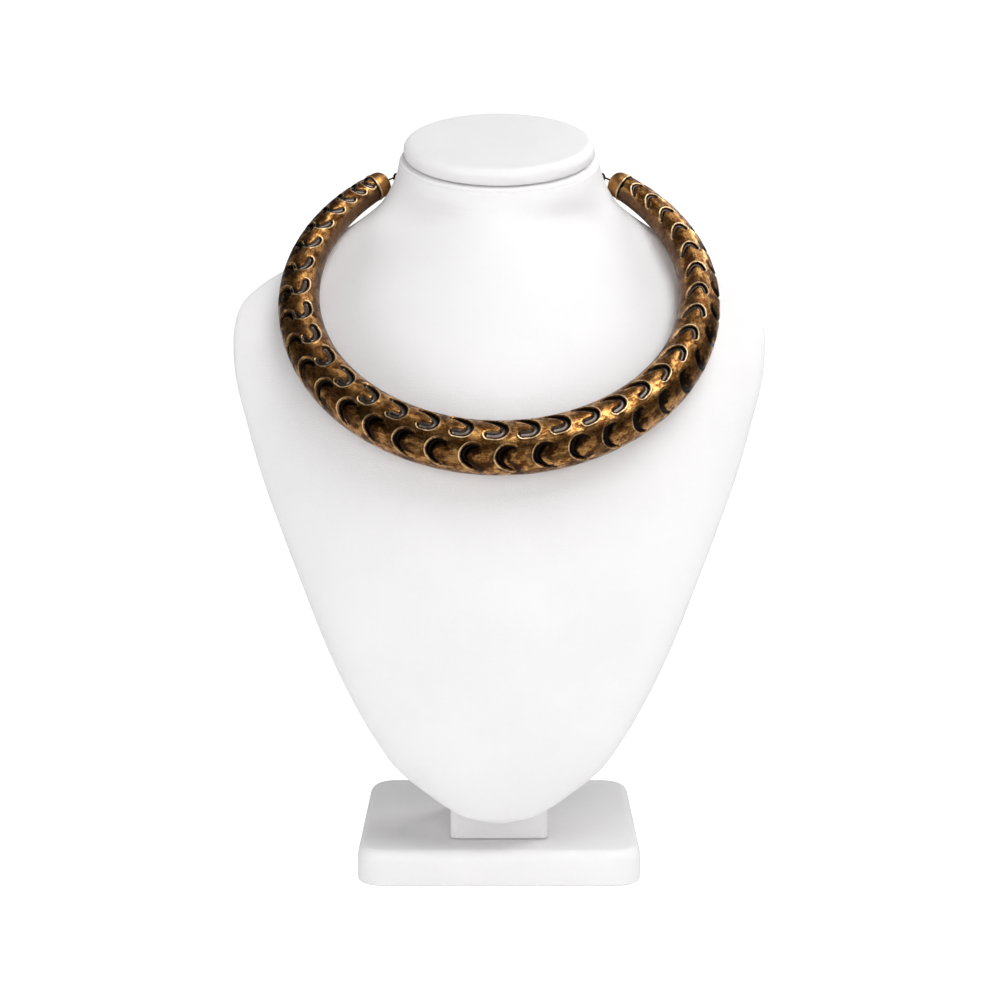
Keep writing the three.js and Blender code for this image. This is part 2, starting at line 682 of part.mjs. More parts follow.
function claspGeometry() {
  const round = CLASP_WIDTH / 2;
  const straight = CLASP_LENGTH / 2 - round;
  const outline = new THREE.Shape();
  outline.absarc(straight, 0, round, -Math.PI / 2, Math.PI / 2, false);
  outline.absarc(-straight, 0, round, Math.PI / 2, (3 * Math.PI) / 2, false);
  outline.holes = [-1, 1].map((side) => {
    return new THREE.Path().absarc(side * HOLE_FROM_MIDDLE, 0, CLASP_HOLE, 0, 2 * Math.PI, true);
  });
  const plate = new THREE.ExtrudeGeometry(outline, {
    depth: CLASP_THICKNESS,
    bevelEnabled: false,
    curveSegments: 8,
  });
  const middle = CHAIN_LINE.getPointAt(0.5);
  return plate.translate(0, 0, -CLASP_THICKNESS / 2).rotateX(Math.PI / 2).translate(0, middle.y, middle.z);
}

// Assembly

const BRASS = { color: 0x9c7434, metalness: 1, roughness: 0.35 };
const DARK_BRASS = { color: 0x5c4426, metalness: 1, roughness: 0.45 };
const LEATHERETTE = { color: 0xf1efec, metalness: 0, roughness: 0.62 };

const group = new THREE.Group();

function addPiece(name, geometry, look) {
  const piece = new THREE.Mesh(geometry, new THREE.MeshStandardMaterial(look));
  piece.name = name;
  group.add(piece);
}

addPiece("base", baseGeometry(), LEATHERETTE);
addPiece("post", postGeometry(0, 0), LEATHERETTE);
addPiece("bust", bustGeometry(), LEATHERETTE);
addPiece("neck_cap", neckCapGeometry(), LEATHERETTE);
addPiece("collar", collarGeometry(), BRASS);
addPiece("end_cap_right", rightCapGeometry(), BRASS);
addPiece("end_cap_left", mirrored(rightCapGeometry()), BRASS);
rightLinks().forEach((link, k) => {
  const number = String(k + 1).padStart(2, "0");
  addPiece(`chain_link_right_${number}`, link, DARK_BRASS);
  addPiece(`chain_link_left_${number}`, mirrored(link), DARK_BRASS);
});
addPiece("clasp", claspGeometry(), DARK_BRASS);

// The origin goes to the middle of the whole, on the ground.
const box = new THREE.Box3().setFromObject(group);
group.position.set(-(box.min.x + box.max.x) / 2, -(box.min.y + box.max.y) / 2, -box.min.z);

export default group;
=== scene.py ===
"""A stamped brass collar choker on a white neck bust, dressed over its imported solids."""

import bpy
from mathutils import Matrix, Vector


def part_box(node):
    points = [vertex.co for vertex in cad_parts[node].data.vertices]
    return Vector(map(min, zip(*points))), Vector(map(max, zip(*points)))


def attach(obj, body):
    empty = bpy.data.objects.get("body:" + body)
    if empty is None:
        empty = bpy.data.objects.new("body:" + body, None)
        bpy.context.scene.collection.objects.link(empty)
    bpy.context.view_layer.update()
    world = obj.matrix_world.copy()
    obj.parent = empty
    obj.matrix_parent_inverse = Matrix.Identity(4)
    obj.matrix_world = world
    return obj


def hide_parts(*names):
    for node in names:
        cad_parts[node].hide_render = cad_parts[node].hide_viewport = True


bl_info = {
    "name": "Collar choker on a neck bust",
    "version": (1, 0, 0),
    "blender": (4, 5, 0),
    "location": "3D View > Sidebar > Choker",
    "description": "Makes the collar, its chain, the covered bust and a plain studio",
    "category": "Object",
}

from math import cos, pi, radians, sin

import bmesh
import bpy
import numpy as np
from mathutils import Matrix, Vector

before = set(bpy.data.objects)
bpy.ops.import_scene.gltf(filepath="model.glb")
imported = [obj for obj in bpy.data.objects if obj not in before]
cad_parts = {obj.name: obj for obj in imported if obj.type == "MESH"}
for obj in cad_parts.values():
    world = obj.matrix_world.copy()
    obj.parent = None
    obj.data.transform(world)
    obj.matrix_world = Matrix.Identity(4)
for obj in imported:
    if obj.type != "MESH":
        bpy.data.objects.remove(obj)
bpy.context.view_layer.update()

MM = 0.001
SAME_PLACE = 0.001 * MM
UP = Vector((0, 0, 1))
BODY = "root"


def middle(box):
    """Middle of a box of two corners."""
    return (box[0] + box[1]) / 2


BASE_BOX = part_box("base")
POST_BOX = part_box("post")
DEPTH_MIDDLE = middle(BASE_BOX).y


# Settings

def length(name, description, default):
    """A length that the sidebar shows in scene units."""
    return bpy.props.FloatProperty(
        name=name, description=description, default=default, min=0.0, unit="LENGTH", precision=4
    )


def angle(name, description, default):
    return bpy.props.FloatProperty(name=name, description=description, default=default, subtype="ANGLE")


def colour(name, description, default):
    return bpy.props.FloatVectorProperty(
        name=name, description=description, default=default, size=3, min=0.0, max=1.0, subtype="COLOR"
    )


def number(name, description, default):
    return bpy.props.FloatProperty(name=name, description=description, default=default)


class CollarSettings(bpy.types.PropertyGroup):
    """Sizes and finish of the collar, its caps and its chain, with the colours of its painted shade and
    highlights.
    """

    loop_width: length("Loop width", "Width of the collar's centre line", 152.2 * MM)
    loop_depth: length("Loop depth", "Depth of the centre line's full ellipse in its plane", 146.6 * MM)
    front_height: length("Front height", "Height of the centre line at the front", 167.9 * MM)
    front_reach: length("Front reach", "How far the centre line is ahead of the base's middle", 59.987 * MM)
    tilt: angle("Tilt", "Slope of the collar's plane", radians(46.2))
    sweep: angle("Sweep", "Angle from the front to either end of the tube", radians(139.1))
    front_radius: length("Front radius", "Tube radius at the front", 9.9 * MM)
    end_radius: length("End radius", "Tube radius at the ends", 5.2 * MM)
    depth: length("Crescent depth", "Depth of a crescent at the front", 1.5 * MM)
    brass: colour("Brass", "Polished brass", (0.67, 0.355, 0.12))
    aged_brass: colour("Aged brass", "Brown aged brass", (0.15, 0.054, 0.011))
    # The stain colour is also used for the painted shade on the low front.
    stain: colour("Stain", "Dark brown stains", (0.03, 0.012, 0.0045))
    bronze: colour("Bronze", "Floors of the inner row", (0.1, 0.082, 0.07))
    # Patina is also the colour of the painted shade on the grooves' outer walls.
    patina: colour("Patina", "Near-black patina in the crescents", (0.012, 0.009, 0.007))
    # Rims: worn brass with a painted highlight, a pale colour that stays bright as it is less metallic.
    rim: colour("Rims", "Worn bright rims", (1.0, 0.76, 0.46))
    # The inner band colour is painted shade on the tube's side towards the neck.
    shade: colour("Inner band", "Dull band on the neck's side", (0.14, 0.078, 0.046))


class StandSettings(bpy.types.PropertyGroup):
    """Sizes and cover of the bust, neck cap, post and base."""

    width: length("Width", "Width over the shoulders", 206.4 * MM)
    depth: length("Depth", "Depth of the bust", 120 * MM)
    height: length("Height", "Height of the bust from its tip to the neck's rim", 247.9 * MM)
    tip_lift: length("Tip lift", "Gap between the base and the bust's tip", 11.6 * MM)
    overhang: length("Overhang", "How far the chest stands ahead of the base", 9 * MM)
    neck_tilt: angle("Neck tilt", "Slope of the neck's rim", radians(21.4))
    base_corner: length("Base corners", "Plan radius of the base's corners", 10 * MM)
    base_round: length("Base edge", "Rounding of the base's top edge", 4.2 * MM)
    cap_round: length("Neck cap edge", "Rounding of the neck cap's top edge", 3.6 * MM)
    cover: colour("Cover", "White leatherette", (0.86, 0.85, 0.855))


class StageSettings(bpy.types.PropertyGroup):
    """Camera, floor and light."""

    distance: length("Distance", "Camera's distance ahead of the base's middle", 783 * MM)
    camera_height: length("Camera height", "Camera's height over the floor", 256 * MM)
    pitch: angle("Pitch", "How far the camera looks down", radians(8.42))
    focal_pixels: number("Focal length", "Focal length in pixels of a picture 1000 wide", 2023.0)
    shift_pixels: number("Shift", "Sideways shift of the picture in pixels", 0.8)
    floor: colour("Floor", "Pale floor and backdrop", (0.93, 0.93, 0.935))


# Mesh tools

def deselect_all():
    if bpy.context.object and bpy.context.object.mode != "OBJECT":
        bpy.ops.object.mode_set(mode="OBJECT")
    bpy.ops.object.select_all(action="DESELECT")


def make_active(piece):
    deselect_all()
    piece.select_set(True)
    bpy.context.view_layer.objects.active = piece


def newest(name):
    """The object that the last add operator made, under its piece name."""
    piece = bpy.context.object
    piece.name = name
    piece.data.name = name
    return piece


def apply_place(piece):
    """Moves the object's place into its mesh."""
    make_active(piece)
    bpy.ops.object.transform_apply(location=True, rotation=True, scale=True)


def place_by(piece, matrix):
    piece.matrix_world = matrix
    bpy.context.view_layer.update()
    apply_place(piece)


def pick(piece, faces=None, edges=None):
    """Selects faces or edges by a test in edit mode."""
    make_active(piece)
    bpy.ops.object.mode_set(mode="EDIT")
    bpy.ops.mesh.select_all(action="DESELECT")
    mesh = bmesh.from_edit_mesh(piece.data)
    mesh.normal_update()
    mode = "FACE" if faces else "EDGE"
    bpy.ops.mesh.select_mode(type=mode)
    for item in mesh.faces if faces else mesh.edges:
        if (faces or edges)(item):
            item.select_set(True)
    mesh.select_flush_mode()
    bmesh.update_edit_mesh(piece.data)


def bevel_edges(piece, test, width, segments):
    pick(piece, edges=test)
    bpy.ops.mesh.bevel(offset=width, segments=segments, affect="EDGES", clamp_overlap=True)
    bpy.ops.object.mode_set(mode="OBJECT")


def rim_edge(edge, z):
    """Whether an edge lies at a height."""
    return all(abs(vertex.co.z - z) < SAME_PLACE for vertex in edge.verts)


def smooth(piece, limit):
    """Shades a piece smooth, but for edges sharper than a limit."""
    make_active(piece)
    bpy.ops.object.shade_smooth_by_angle(angle=limit)


def tidy_normals(piece):
    make_active(piece)
    bpy.ops.object.mode_set(mode="EDIT")
    bpy.ops.mesh.select_all(action="SELECT")
    bpy.ops.mesh.remove_doubles(threshold=SAME_PLACE)
    bpy.ops.mesh.normals_make_consistent(inside=False)
    bpy.ops.object.mode_set(mode="OBJECT")


def join_pieces(name, parts):
    make_active(parts[0])
    for part in parts[1:]:
        part.select_set(True)
    bpy.ops.object.join()
    return newest(name)


def copy_of(piece, name):
    twin = piece.copy()
    twin.data = piece.data.copy()
    twin.name = name
    twin.data.name = name
    bpy.context.scene.collection.objects.link(twin)
    return twin


def dress(piece, material, slot, *nodes):
    """Gives a finished piece its material and body, and hides the solids that it stands for. The slot is not
    used.
    """
    piece.data.materials.clear()
    piece.data.materials.append(material)
    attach(piece, BODY)
    if nodes:
        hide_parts(*nodes)
    return piece


def ring_skin(name, rings, **marks):
    """A smooth closed skin over rings of points (ring, point, xyz), with a number or vector mark at each."""
    count, around = rings.shape[:2]
    number = np.arange(count * around).reshape(count, around)
    ahead = np.roll(number, -1, axis=1)
    faces = np.stack([number[:-1], ahead[:-1], ahead[1:], number[1:]], axis=-1).reshape(-1, 4).tolist()
    points = rings.reshape(-1, 3).tolist()
    for ring, turn in ((number[0], -1), (number[-1], 1)):
        points.append(rings.reshape(-1, 3)[ring].mean(0).tolist())
        end = ring[::turn]
        faces += [[int(a), int(b), len(points) - 1] for a, b in zip(end, np.roll(end, -1))]
    mesh = bpy.data.meshes.new(name)
    mesh.from_pydata(points, [], faces)
    mesh.polygons.foreach_set("use_smooth", [True] * len(mesh.polygons))
    for mark, values in marks.items():
        kind = "FLOAT_VECTOR" if values.ndim == 3 else "FLOAT"
        flat = values.reshape(count * around, -1)
        flat = np.vstack([flat, flat[:around].mean(0), flat[-around:].mean(0)]).astype(np.float32)
        store = mesh.attributes.new(mark, kind, "POINT")
        store.data.foreach_set("vector" if kind == "FLOAT_VECTOR" else "value", flat.ravel())
    piece = bpy.data.objects.new(name, mesh)
    bpy.context.scene.collection.objects.link(piece)
    return piece


# Bust

# Sections from the tip up. rise is a share of the height, half of half the width, and front, edge, back and
# rim (thickness at the sides) are shares of the depth. corner is how square the ends are, and bell turns a
# plain bow into a neck between shoulders.
SECTION_COLUMNS = ("rise", "half", "front", "edge", "back", "rim", "corner", "bell")
BUST_SECTIONS = (
    (0.0, 0.034, 0.067, 0.086, 0.104, 0.037, 2.0, 0.0),
    (0.0065, 0.109, 0.047, 0.087, 0.127, 0.078, 2.4, 0.0),
    (0.022, 0.186, 0.03, 0.089, 0.143, 0.107, 3.4, 0.0),
    (0.044, 0.261, 0.019, 0.092, 0.156, 0.122, 5.0, 0.0),
    (0.079, 0.366, 0.008, 0.098, 0.175, 0.13, 7.0, 0.0),
    (0.125, 0.45, 0.0025, 0.11, 0.208, 0.133, 9.0, 0.0),
    (0.185, 0.536, 0.0, 0.132, 0.275, 0.133, 10.0, 0.0),
    (0.258, 0.624, 0.0017, 0.163, 0.367, 0.133, 10.0, 0.0),
    (0.346, 0.714, 0.011, 0.213, 0.483, 0.133, 10.0, 0.0),
    (0.433, 0.802, 0.03, 0.279, 0.583, 0.133, 10.0, 0.0),
    (0.521, 0.887, 0.056, 0.358, 0.675, 0.133, 9.5, 0.0),
    (0.595, 0.944, 0.092, 0.421, 0.75, 0.133, 9.0, 0.1),
    (0.656, 0.986, 0.138, 0.471, 0.8, 0.133, 8.0, 0.35),
    (0.7045, 1.0, 0.187, 0.512, 0.842, 0.138, 7.0, 0.6),
    (0.741, 0.997, 0.229, 0.548, 0.871, 0.135, 6.0, 0.8),
    (0.778, 0.961, 0.275, 0.59, 0.9, 0.13, 5.0, 0.95),
    (0.8055, 0.884, 0.308, 0.622, 0.919, 0.13, 4.2, 1.0),
    (0.832, 0.777, 0.335, 0.65, 0.938, 0.135, 3.5, 1.0),
    (0.8687, 0.657, 0.367, 0.68, 0.958, 0.17, 2.9, 1.0),
    (0.901, 0.534, 0.387, 0.693, 0.978, 0.26, 2.5, 1.0),
    (0.9256, 0.457, 0.397, 0.698, 0.99, 0.38, 2.2, 1.0),
    (0.9495, 0.417, 0.402, 0.7, 0.997, 0.5, 2.05, 1.0),
    (0.974, 0.392, 0.403, 0.7015, 1.0, 0.597, 2.0, 1.0),
    (1.0, 0.379, 0.403, 0.7015, 1.0, 0.597, 2.0, 1.0),
)
BUST_RINGS = 240
BUST_SIDE_POINTS = 48
TILT_FROM = 0.85
TIP_SHARE = 0.35
NECK_RIM_ROUND = 1.2 * MM


def smoothstep(low, high, value):
    t = np.clip((value - low) / (high - low), 0.0, 1.0)
    return t * t * (3.0 - 2.0 * t)


def mix(start, end, share):
    return start + (end - start) * share


def through(places, values, at):
    """A smooth curve through values at places, read at new places, each column of values by itself."""
    slope = np.gradient(values, places, axis=0)
    k = np.clip(np.searchsorted(places, at) - 1, 0, len(places) - 2)
    if values.ndim > 1:
        k = k[:, 0]
    step = (places[k + 1] - places[k]).reshape(at.shape[0], *[1] * (values.ndim - 1))
    t = (at - places[k].reshape(step.shape)) / step
    return (
        (2 * t**3 - 3 * t**2 + 1) * values[k]
        + (t**3 - 2 * t**2 + t) * step * slope[k]
        + (3 * t**2 - 2 * t**3) * values[k + 1]
        + (t**3 - t**2) * step * slope[k + 1]
    )


def bust_sections(rise):
    """Section sizes in metres at shares of the bust's height."""
    stand = bpy.context.scene.choker_stand
    table = np.array(BUST_SECTIONS)
    read = {name: through(table[:, 0], table[:, i], rise) for i, name in enumerate(SECTION_COLUMNS)}
    front = BASE_BOX[0].y - stand.overhang
    return {
        "z": BASE_BOX[1].z + stand.tip_lift + rise * stand.height,
        "half": read["half"] * stand.width / 2,
        "front": front + read["front"] * stand.depth,
        "edge": front + read["edge"] * stand.depth,
        "back": front + read["back"] * stand.depth,
        "rim": read["rim"] * stand.depth,
        "corner": np.maximum(read["corner"], 2.0),
        "bell": np.clip(read["bell"], 0.0, 1.0),
        "tilt": stand.neck_tilt * smoothstep(TILT_FROM, 1.0, rise),
    }


def bust_rings(rise):
    """Rings of points round the bust at shares of its height, front first."""
    section = {name: values[:, None] for name, values in bust_sections(rise).items()}
    step = np.arange(-BUST_SIDE_POINTS, BUST_SIDE_POINTS + 1) / BUST_SIDE_POINTS
    across = np.sign(step) * (1 - (1 - abs(step)) ** 2)
    across = np.concatenate([across, across[-2:0:-1]])[None]
    side = np.concatenate([-np.ones(len(step)), np.ones(len(step) - 2)])[None]
    spread = mix(across**2, (1 - np.cos(pi * across)) / 2, section["bell"])
    front = mix(section["front"], section["edge"] - section["rim"] / 2, spread)
    back = mix(section["back"], section["edge"] + section["rim"] / 2, spread)
    ends = np.sqrt(np.maximum(1 - abs(across) ** section["corner"], 0))
    y = (front + back) / 2 + side * (back - front) / 2 * ends - section["edge"]
    tilt = section["tilt"]
    rings = [across * section["half"], section["edge"] + y * np.cos(tilt), section["z"] + y * np.sin(tilt)]
    return np.stack(rings, axis=-1)


def bust_rises():
    """Shares of the height, close together at the round tip."""
    step = np.linspace(0, 1, BUST_RINGS)
    return mix(step**2, step, smoothstep(0, TIP_SHARE, step))


def round_neck_rim(rings, tilt):
    """Adds a small rounding inside the neck's top edge."""
    top = rings[-1]
    centre = top.mean(0)
    reach = np.linalg.norm(top - centre, axis=1, keepdims=True)
    up = np.array([0.0, -sin(tilt), cos(tilt)])
    extra = [rings[:-1]]
    for turn in np.linspace(0, pi / 2, 6):
        inset = NECK_RIM_ROUND * (1 - cos(turn))
        lift = NECK_RIM_ROUND * (sin(turn) - 1)
        extra.append((centre + (top - centre) * (1 - inset / reach) + up * lift)[None])
    return np.concatenate(extra)


class ChokerMakeBust(bpy.types.Operator):
    """Lofts the neck and chest form"""

    bl_idname = "object.choker_make_bust"
    bl_label = "Bust"

    def execute(self, context):
        stand = context.scene.choker_stand
        rings = round_neck_rim(bust_rings(bust_rises()), stand.neck_tilt)
        bust = ring_skin("bust_cover", rings)
        dress(bust, leatherette(), "white_leatherette", "bust")
        return {"FINISHED"}


# Neck cap, post and base

NECK_CAP_THICKNESS = 6.8 * MM
NECK_CAP_INSET = 1.5 * MM
SEAT_GAP = 0.3 * MM
NECK_CAP_UNDER_ROUND = 2.4 * MM
NECK_CAP_CROWN = 0.35 * MM
NECK_CAP_CROWN_RINGS = 5
NECK_CAP_CROWN_STEP = 3.5 * MM


class ChokerMakeNeckCap(bpy.types.Operator):
    """Makes the oval covered board on the neck"""

    bl_idname = "object.choker_make_neck_cap"
    bl_label = "Neck cap"

    def execute(self, context):
        stand = context.scene.choker_stand
        rim = {name: float(values[0]) for name, values in bust_sections(np.array([1.0])).items()}
        half_depth = (rim["back"] - rim["front"]) / 2
        offset = (rim["front"] + rim["back"]) / 2 - rim["edge"]
        tilt = rim["tilt"]
        rise = SEAT_GAP + NECK_CAP_THICKNESS / 2
        deselect_all()
        bpy.ops.mesh.primitive_cylinder_add(vertices=160, radius=1, depth=NECK_CAP_THICKNESS)
        cap = newest("neck_cap_board")
        cap.scale = (rim["half"] - NECK_CAP_INSET, half_depth - NECK_CAP_INSET, 1)
        apply_place(cap)
        bevel_edges(cap, lambda edge: rim_edge(edge, NECK_CAP_THICKNESS / 2), stand.cap_round, 10)
        bevel_edges(cap, lambda edge: rim_edge(edge, -NECK_CAP_THICKNESS / 2), NECK_CAP_UNDER_ROUND, 6)
        pick(cap, faces=lambda face: face.normal.z > 0.99 and len(face.verts) > 8)
        for _ in range(NECK_CAP_CROWN_RINGS):
            bpy.ops.mesh.inset(thickness=NECK_CAP_CROWN_STEP, depth=NECK_CAP_CROWN / NECK_CAP_CROWN_RINGS)
        bpy.ops.object.mode_set(mode="OBJECT")
        turn = Matrix.Rotation(tilt, 4, "X")
        place = Matrix.Translation((0, rim["edge"], rim["z"])) @ turn @ Matrix.Translation((0, offset, rise))
        place_by(cap, place)
        smooth(cap, radians(60))
        dress(cap, leatherette(), "white_leatherette", "neck_cap")
        return {"FINISHED"}


POST_CORNER = 3 * MM
POST_FOOT = 0.5 * MM
FOOT_ROUND = 1.2 * MM
SHORTEST_UPRIGHT = 5 * MM


def upright(edge):
    a, b = edge.verts
    return abs(a.co.z - b.co.z) > SHORTEST_UPRIGHT


def add_block(name, box):
    """A cube primitive that fills a box."""
    deselect_all()
    bpy.ops.mesh.primitive_cube_add(size=1, location=middle(box))
    block = newest(name)
    block.scale = box[1] - box[0]
    apply_place(block)
    return block


class ChokerMakePost(bpy.types.Operator):
    """Makes the post between the base and the bust"""

    bl_idname = "object.choker_make_post"
    bl_label = "Post"

    def execute(self, context):
        post = add_block("post_cover", POST_BOX)
        bevel_edges(post, upright, POST_CORNER, 8)
        bevel_edges(post, lambda edge: rim_edge(edge, POST_BOX[0].z), POST_FOOT, 3)
        smooth(post, radians(35))
        dress(post, leatherette(), "white_leatherette", "post")
        return {"FINISHED"}


class ChokerMakeBase(bpy.types.Operator):
    """Makes the rounded base block"""

    bl_idname = "object.choker_make_base"
    bl_label = "Base"

    def execute(self, context):
        stand = context.scene.choker_stand
        base = add_block("base_cover", BASE_BOX)
        bevel_edges(base, upright, stand.base_corner, 14)
        bevel_edges(base, lambda edge: rim_edge(edge, BASE_BOX[1].z), stand.base_round, 10)
        bevel_edges(base, lambda edge: rim_edge(edge, BASE_BOX[0].z), FOOT_ROUND, 4)
        smooth(base, radians(35))
        dress(base, leatherette(), "white_leatherette", "base")
        return {"FINISHED"}


# Collar

# The tube's skin is made of rings. Section angles are in degrees, from the tube's outer side over its front
# to the neck's side, and the points are close together where the relief is.
RING_SPACING = 0.4 * MM
RELIEF_FROM = -26.0
RELIEF_TO = 152.0
RELIEF_COLUMNS = 89
PLAIN_COLUMNS = 20
PATH_STEPS = 36
LOOP_STEPS = 4001
SEAM_ANGLE = 159.0
SEAM_DEPTH = 0.25 * MM
SEAM_SPREAD = 2.5

# The raised rim of a groove: its height, and its place and spread over the groove's border, in millimetres.
# Rim and bright line start and are whole at these shares of the way to the outer side, and the border is
# marked within its reach. The bright line is wear and a painted highlight.
RIM_HEIGHT = 0.2
RIM_OUT = 0.3
RIM_SPREAD = 0.28
RIM_SIDE = (0.3, 0.9)
RIM_HIGHLIGHT_SIDE = (0.2, 0.9)
BORDER_REACH = 3

# A groove's section. Its outer wall is steep between these shares of its half width, and its inner wall ends
# at a share of it. SIDE_TURN is how gently it turns from one wall to the other, and END_FADE where the
# depth of its two ends fades in and out along its path.
STEEP_WALL = (0.4, 1.0)
GENTLE_END = 1.05
SIDE_TURN = 0.75
END_FADE = (0, 0.35, 0.75, 1)

# Where tables of a row's left, front and right values stand, as shares of the half length.
ROW_PLACES = (-0.6, 0.0, 0.5)

# Bands round the section, in degrees: where the inner band and the low front, both painted shade, begin and
# end, and how far along the tube the low front fades, as shares of the half length.
BAND_SHADE_BEGINS = (131.0, 149.0)
BAND_SHADE_ENDS = (190.0, 230.0)
LOW_SHADE_BEGINS = (2.0, 22.0)
LOW_SHADE_ENDS = (52.0, 70.0)
LOW_SHADE_FADES = (0.2, 0.55)

# The dark joint at the caps, measured back from the tube's end.
CAP_JOINT = (1.3 * MM, 0.6 * MM)

# Grooves of the two rows. start is the place of crescent 0 along the tube in millimetres. left and right
# give the pitch in millimetres, the crescents gained towards that end, and the power of their crowding.
# facing is the side of the closed bow, and slope where the inner wall starts as a share of the groove's half
# width. depth (a share of the crescent depth) is given left, front and right, and rims (their brightness) so
# at the groove's upper end, middle and tail. The rims' brightness is wear and a painted highlight, and it
# also sets the raised rim's height. Each path runs from the groove's upper end to its tail at
# one place along the tube, as a share of the half length. Its points give the distance from the crescent's
# place in pitches, the section angle in degrees and the half width in millimetres.
INNER_ROW = dict(
    start=3.9,
    left=(12.7, 2.5, 12),
    right=(11.3, 0.9, 12),
    facing=1,
    depth=(0.85, 0.85, 0.8),
    slope=0.35,
    rims=((1.0, 0.2, 0.7), (0.8, 0.5, 1.0), (0.35, 1.0, 0.85)),
    ends=(1.0, 0.9),
    paths={
        -0.92: (
            (-0.55, 118, 1.1), (-0.42, 114, 1.25), (-0.3, 107, 1.2), (-0.18, 98, 1.0),
            (-0.12, 88, 0.95), (-0.12, 79, 0.9), (-0.18, 72, 0.85),
        ),
        -0.5: (
            (-0.62, 111, 1.95), (-0.46, 113.5, 1.8), (-0.28, 111, 1.6), (-0.14, 102, 1.35),
            (-0.11, 90, 1.3), (-0.18, 80, 1.3), (-0.3, 77, 1.1),
        ),
        0.0: (
            (-0.78, 132, 1.5), (-0.58, 127, 1.6), (-0.36, 117, 1.7), (-0.19, 104, 1.65),
            (-0.17, 91, 1.6), (-0.32, 82.5, 1.75), (-0.62, 82.5, 1.8),
        ),
        0.47: (
            (-0.6, 124, 1.2), (-0.45, 121, 1.4), (-0.28, 113.5, 1.5), (-0.15, 103, 1.4),
            (-0.13, 92, 1.3), (-0.23, 83, 1.25), (-0.46, 77, 1.25),
        ),
        0.92: (
            (-0.52, 128, 0.9), (-0.44, 122, 1.0), (-0.33, 113, 1.1), (-0.22, 103, 1.1),
            (-0.2, 93, 1.1), (-0.25, 84, 1.05), (-0.35, 77, 1.0),
        ),
    },
)
OUTER_ROW = dict(
    start=-1.7,
    left=(11.5, 1.5, 12),
    right=(12.3, 2.0, 2),
    facing=-1,
    depth=(1.25, 1.25, 0.7),
    slope=-0.3,
    rims=((0.3, 0.15, 0.0), (0.6, 0.75, 0.05), (0.3, 0.4, 0.05)),
    ends=(0.55, 0.6),
    paths={
        -0.75: (
            (0.46, 68, 1.3), (0.33, 66, 1.5), (0.22, 59, 1.5), (0.17, 49, 1.35),
            (0.2, 38, 1.1), (0.3, 26, 0.9), (0.44, 16, 0.6),
        ),
        -0.45: (
            (0.48, 60, 1.6), (0.34, 58, 1.85), (0.22, 51, 1.8), (0.17, 40, 1.6),
            (0.2, 29, 1.3), (0.3, 17, 1.0), (0.46, 7, 0.7),
        ),
        0.0: (
            (0.5, 52, 1.7), (0.34, 50, 2.0), (0.22, 42, 1.95), (0.17, 31, 1.75),
            (0.2, 20, 1.45), (0.32, 8, 1.15), (0.52, -2, 0.75),
        ),
        0.35: (
            (0.5, 49, 2.3), (0.38, 46, 2.5), (0.27, 38, 2.2), (0.2, 27, 1.7),
            (0.22, 15, 1.3), (0.32, 2, 0.95), (0.5, -12, 0.6),
        ),
        0.65: (
            (0.48, 48, 1.9), (0.36, 45, 2.0), (0.26, 38, 1.8), (0.2, 27, 1.4),
            (0.22, 15, 1.1), (0.32, 3, 0.8), (0.5, -10, 0.5),
        ),
    },
)


def collar_line():
    """Angles along half the loop, distances from the front middle, and the half length."""
    collar = bpy.context.scene.choker_collar
    turn = np.linspace(0, collar.sweep, LOOP_STEPS)
    speed = np.hypot(collar.loop_width / 2 * np.cos(turn), collar.loop_depth / 2 * np.sin(turn))
    run = np.concatenate([[0], np.cumsum((speed[1:] + speed[:-1]) / 2 * np.diff(turn))])
    return turn, run, run[-1]


def crescents_to(row, along, half_length):
    """Crescents of a row counted to distances along the tube, and the pitch there in millimetres."""
    count = np.zeros_like(along)
    for side, (pitch, crowding, power) in ((-1, row["left"]), (1, row["right"])):
        off = side * (along / MM - row["start"])
        share = np.maximum(side * along / half_length, 0)
        count += np.where(off > 0, side * (off / pitch + crowding * share**power), 0)
    return count, 1 / np.gradient(count, along / MM)


def groove_path(row, share):
    """Points of a row's groove at signed shares of the half length: (ring, step, along/angle/half width)."""
    places = np.array(list(row["paths"]))
    points = np.array(list(row["paths"].values()))
    knots = np.arange(points.shape[1])
    steps = np.linspace(0, knots[-1], PATH_STEPS)
    at = steps[:, None] + 0 * places
    fine = np.stack([through(knots, points[:, :, i].T, at) for i in range(3)], axis=-1)
    table = fine.transpose(1, 0, 2).reshape(len(places), -1)
    mixed = np.stack([np.interp(share, places, column) for column in table.T], axis=-1)
    return mixed.reshape(len(share), PATH_STEPS, 3)


